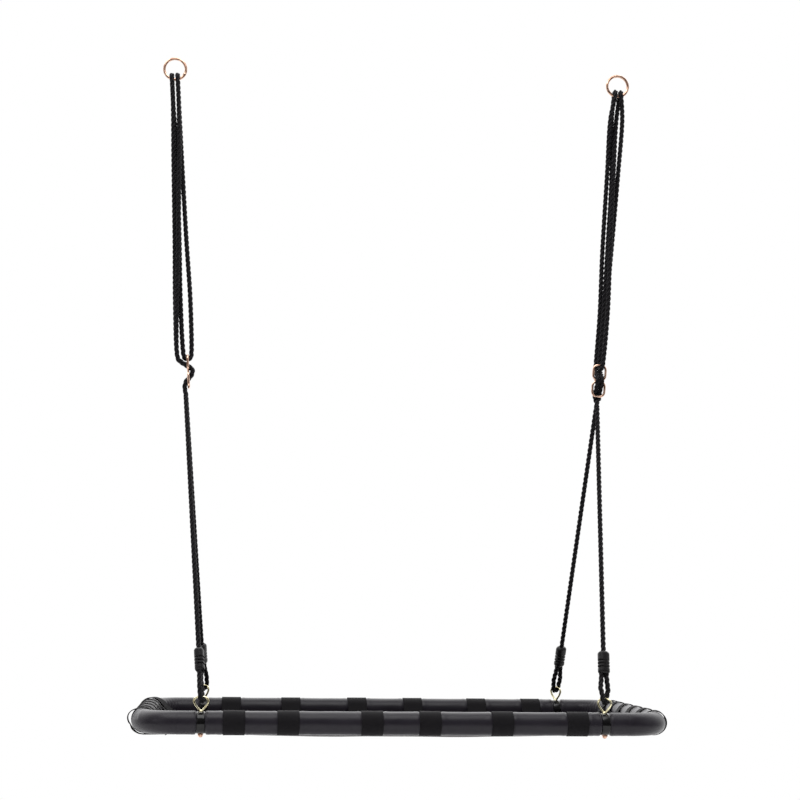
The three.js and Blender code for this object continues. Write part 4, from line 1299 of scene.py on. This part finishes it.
def mat_plan(x, y):
    # The rounded corners, and the drawn-in edge between tabs.
    past_x = (abs(x) - MAT_HALF_LENGTH) / MAT_CORNER + 1
    past_y = (abs(y) - MAT_HALF_WIDTH) / MAT_CORNER + 1
    if past_x > 0 and past_y > 0:
        share = max(past_x, past_y) / math.hypot(past_x, past_y)
        x = math.copysign(MAT_HALF_LENGTH - MAT_CORNER * (1 - past_x * share), x)
        y = math.copysign(MAT_HALF_WIDTH - MAT_CORNER * (1 - past_y * share), y)
    loose = 1 - edge_pull(x, y)
    near_edge = smoothstep(abs(y), MAT_HALF_WIDTH - 70, MAT_HALF_WIDTH)
    in_y = 5.0 * loose * near_edge * smoothstep(480 - abs(x), 0, 60)
    return Vector((x, y - math.copysign(in_y, y), 0))


def hem(x, y):
    # Extra half-thickness of the turned hem.
    edge = min(MAT_HALF_WIDTH - abs(y), MAT_HALF_LENGTH - abs(x))
    return 0.55 * (1 - smoothstep(edge, 20, 22.5))


def outer_ring(layer):
    # The points round the edge of a grid, in order.
    return (layer[0][:] + [row[-1] for row in layer[1:]] + layer[-1][-2::-1]
            + [row[0] for row in layer[-2:0:-1]])


def mat_grid():
    nx, ny = MAT_STEPS
    bm = bmesh.new()
    layers = []
    for sign in (1, -1):
        layer = []
        for j in range(ny + 1):
            row = []
            for i in range(nx + 1):
                x = -MAT_HALF_LENGTH + 2 * MAT_HALF_LENGTH * i / nx
                y = -MAT_HALF_WIDTH + 2 * MAT_HALF_WIDTH * j / ny
                edge = min(MAT_HALF_WIDTH - abs(y), MAT_HALF_LENGTH - abs(x))
                half = (0.75 + hem(x, y)) * math.sqrt(1 - (1 - min(edge / 2.0, 1.0)) ** 2 * 0.9)
                p = mat_plan(x, y)
                row.append(bm.verts.new(Vector((p.x, p.y, SEAT_Z + mat_surface(x, y) + sign * half)) * MM))
            layer.append(row)
        layers.append(layer)
    for sign, layer in zip((1, -1), layers):
        for j in range(ny):
            for i in range(nx):
                quad = (layer[j][i], layer[j][i + 1], layer[j + 1][i + 1], layer[j + 1][i])
                bm.faces.new(quad if sign > 0 else quad[::-1])
    top, low = layers
    a, b = outer_ring(top), outer_ring(low)
    for i in range(len(a)):
        k = (i + 1) % len(a)
        bm.faces.new((a[i], b[i], b[k], a[k]))
    return finish_mesh("mat_cloth", bm, mat_cloth)


# %% Slots, cut and bound
SLOT_WIDTH = 11.0
SLOT_LENGTH = 38.0


def slot_frames():
    frames = []
    for turn in (0.0, math.pi):
        for k in range(6):
            start = FIRST_SLOT + k * STRAP_PITCH
            outward = bow_outward(start)
            place = bow_point(start) - outward * (STRAP_TIP_OFFSET + STRAP_TIP_RADIUS - 1)
            angle = math.atan2(outward.y, outward.x)
            frames.append(Matrix.Rotation(turn, 4, "Z") @ Matrix.Translation((place.x, place.y, 0))
                          @ Matrix.Rotation(angle, 4, "Z"))
    return frames


def stadium(width, length, steps=10):
    # A slot's outline with round ends, long way along Y.
    r, straight = width / 2, (length - width) / 2
    ends = []
    for sign in (1, -1):
        for i in range(steps + 1):
            a = math.pi * i / steps + (0 if sign > 0 else math.pi)
            ends.append(Vector((r * math.cos(a), sign * straight + r * math.sin(a), 0)))
    return ends


mat = mat_grid()
cutters = []
for place in slot_frames():
    outline = stadium(SLOT_WIDTH, SLOT_LENGTH)
    rows = [[place @ (p + Vector((0, 0, SEAT_Z + z))) * MM for p in outline] for z in (-60, 10)]
    cutters.append(skin("cutter", rows, mat_cloth))
cutter = join_meshes(cutters, "slot_cutter")
cut = mat.modifiers.new("slots", "BOOLEAN")
cut.operation = "DIFFERENCE"
cut.solver = "EXACT"
cut.object = cutter
mat = bake(mat, "mat_cloth")
bpy.data.objects.remove(cutter)
write_map(mat.data, [(v.co.x, v.co.y, 0) for v in mat.data.vertices])
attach(mat, "seat")
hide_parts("mat")
print("mat", len(mat.data.polygons), "faces")

rims = []
for place in slot_frames():
    centre = stadium(SLOT_WIDTH - 0.4, SLOT_LENGTH - 0.4, 12)
    route = []
    for p in centre:
        q = place @ p
        route.append(Vector((q.x, q.y, SEAT_Z + mat_surface(q.x, q.y))))
    rows = wire_loop(route, 1.5, Vector((0, 0, 1)), 10)
    maps = [[(i * 0.0016, k * 0.0009, 0) for k in range(10)] for i in range(len(rows))]
    rims.append(skin("rim", in_metres(rows), seam_thread, closed_along=True, maps=maps))
slot_rims = join_meshes(rims, "mat_slot_bindings")
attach(slot_rims, "seat")

# %% [markdown]
# ## Stitches
# Hundreds of equal stitches sit at a fixed pitch along seams. One tree does them all: it puts points
# along each seam curve, sets one small rounded stitch on each, turned along the seam, and makes them real.

# %% The stitch tree
def stitch_tree():
    tree = bpy.data.node_groups.new("seam_stitches", "GeometryNodeTree")
    socket(tree, "Seams", "NodeSocketGeometry")
    socket(tree, "Pitch", "NodeSocketFloat", 0.004)
    socket(tree, "Stitch length", "NodeSocketFloat", 0.003)
    socket(tree, "Thread radius", "NodeSocketFloat", 0.0004)
    socket(tree, "Material", "NodeSocketMaterial")
    tree.interface.new_socket(name="Mesh", in_out="OUTPUT", socket_type="NodeSocketGeometry")
    given = add_node(tree, "NodeGroupInput").outputs
    points = add_node(tree, "GeometryNodeCurveToPoints", {"mode": "LENGTH"}, None,
                      {"Curve": given["Seams"], "Length": given["Pitch"]})
    turn = add_node(tree, "FunctionNodeAlignRotationToVector", {"axis": "Z"}, None,
                    {"Vector": points.outputs["Tangent"]}).outputs[0]
    ball = add_node(tree, "GeometryNodeMeshUVSphere", None,
                    {"Segments": 5, "Rings": 4, "Radius": 1.0}).outputs[0]
    half = add_node(tree, "ShaderNodeMath", {"operation": "MULTIPLY"}, {1: 0.5},
                    {0: given["Stitch length"]}).outputs[0]
    size = add_node(tree, "ShaderNodeCombineXYZ", None, None,
                    {"X": given["Thread radius"], "Y": given["Thread radius"], "Z": half}).outputs[0]
    placed_stitches = add_node(tree, "GeometryNodeInstanceOnPoints", None, None,
                               {"Points": points.outputs["Points"], "Instance": ball, "Rotation": turn,
                                "Scale": size}).outputs[0]
    real = add_node(tree, "GeometryNodeRealizeInstances", None, None, {0: placed_stitches}).outputs[0]
    done = add_node(tree, "GeometryNodeSetMaterial", None, None,
                    {0: real, "Material": given["Material"]}).outputs[0]
    add_node(tree, "NodeGroupOutput", None, None, {0: done})
    return tree


seam_stitches = stitch_tree()


def stitched(piece_name, seams, pitch, length, radius):
    # seams: lists of points in metres. All on the seat body. The other sizes are in millimetres.
    sizes = {"Pitch": pitch * MM, "Stitch length": length * MM, "Thread radius": radius * MM}
    piece = run_tree(piece_name, seams, seam_stitches, {**sizes, "Material": seam_thread})
    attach(piece, "seat")
    print(piece_name, len(piece.data.polygons), "faces")
    return piece


# %% Hem stitches on the mat
def mat_line(points, lift):
    line = []
    for x, y in points:
        p = mat_plan(x, y)
        line.append(Vector((p.x, p.y, SEAT_Z + mat_surface(x, y) + lift)) * MM)
    return line


hem_seams = []
for lift in (1.35, -1.35):
    for inset in (5.0, 18.0):
        for sign in (-1, 1):
            y = sign * (MAT_HALF_WIDTH - inset)
            hem_seams.append(mat_line([(x * 4.0, y) for x in range(-134, 135)], lift))
            x = sign * (MAT_HALF_LENGTH - inset)
            hem_seams.append(mat_line([(x, y * 4.0) for y in range(-62, 63)], lift))
stitched("mat_hem_stitches", hem_seams, 4.2, 3.2, 0.45)

# %% Box stitches on the tabs' tails
tab_seams = []
upper_z = MAT_THICKNESS / 2 + 0.3 + TAB_THICKNESS + 0.05
box_corners = [(-20, 41.5), (20, 41.5), (20, 59.5), (-20, 59.5)]
for place, x in tab_places:
    for lift in (upper_z, -upper_z):
        box = [(place @ Vector((across, along, mat_height(x, RAIL_Y - along) + lift))) * MM
               for across, along in box_corners]
        tab_seams += [box + box[:1], [box[0], box[2]], [box[3], box[1]]]
stitched("tab_box_stitches", tab_seams, 3.4, 2.6, 0.42)

# %% [markdown]
# ## Floor and light
# The swing hangs over a pale floor. A wide soft panel above and in front lights the tops of the tubes,
# and a weak one fills from each side. The metal mirrors a white room, brighter above than below and much
# brighter behind the swing than in front of it.

# %% Floor
FLOOR_Z = -2.2
FLOOR_RADIUS = 3.2
FLOOR_SIDES = 96
floor_mesh = bpy.data.meshes.new("studio_floor")
floor_angles = [2 * math.pi * i / FLOOR_SIDES for i in range(FLOOR_SIDES)]
floor_ring = [Vector((FLOOR_RADIUS * math.cos(a), FLOOR_RADIUS * math.sin(a), FLOOR_Z))
              for a in floor_angles]
floor_mesh.from_pydata(floor_ring, [], [list(range(FLOOR_SIDES))])
floor = bpy.data.objects.new("studio_floor", floor_mesh)
bpy.context.collection.objects.link(floor)
floor_paint, _, _ = new_material("matt_white_floor_paint",
                                 {"Base Color": linear("#f2f2f2"), "Roughness": 0.9})
floor_mesh.materials.append(floor_paint)

# %% Lights and room
def area_light(light_name, place, aim, size, power):
    data = bpy.data.lights.new(light_name, "AREA")
    data.shape = "RECTANGLE"
    data.size, data.size_y = size
    data.energy = power
    lamp = bpy.data.objects.new(light_name, data)
    bpy.context.collection.objects.link(lamp)
    lamp.location = place
    lamp.rotation_euler = (Vector(aim) - Vector(place)).to_track_quat("-Z", "Y").to_euler()
    return lamp


area_light("panel_above", (-0.4, -1.4, 1.6), (0, 0, -1.5), (3.2, 2.2), 80)
area_light("fill_left", (-3.4, -2.6, -0.2), (0, 0, -1.2), (1.8, 2.4), 14)
area_light("fill_right", (3.6, -2.0, 0.0), (0, 0, -1.2), (1.6, 2.4), 10)

world = bpy.data.worlds.new("white_room")
world.use_nodes = True
room = world.node_tree
way = add_node(room, "ShaderNodeSeparateXYZ", None, None,
               {0: add_node(room, "ShaderNodeTexCoord").outputs["Generated"]}).outputs
by_height = add_node(room, "ShaderNodeMapRange", {"interpolation_type": "SMOOTHSTEP"},
                     {1: -0.1, 2: 0.9, 3: 0.45, 4: 1.1}, {0: way["Z"]}).outputs[0]
by_depth = add_node(room, "ShaderNodeMapRange", {"interpolation_type": "SMOOTHSTEP"},
                    {1: -0.5, 2: 0.8, 3: 0.3, 4: 3.0}, {0: way["Y"]}).outputs[0]
glow = add_node(room, "ShaderNodeMath", {"operation": "MULTIPLY"}, None,
                {0: by_height, 1: by_depth}).outputs[0]
seen = add_node(room, "ShaderNodeLightPath").outputs["Is Camera Ray"]
brightness = add_node(room, "ShaderNodeMix", None, {3: 1.0}, {0: seen, 2: glow}).outputs[0]
room.nodes["Background"].inputs["Color"].default_value = linear("#ffffff")
room.links.new(brightness, room.nodes["Background"].inputs["Strength"])
bpy.context.scene.world = world
bpy.context.scene.view_settings.view_transform = "Standard"
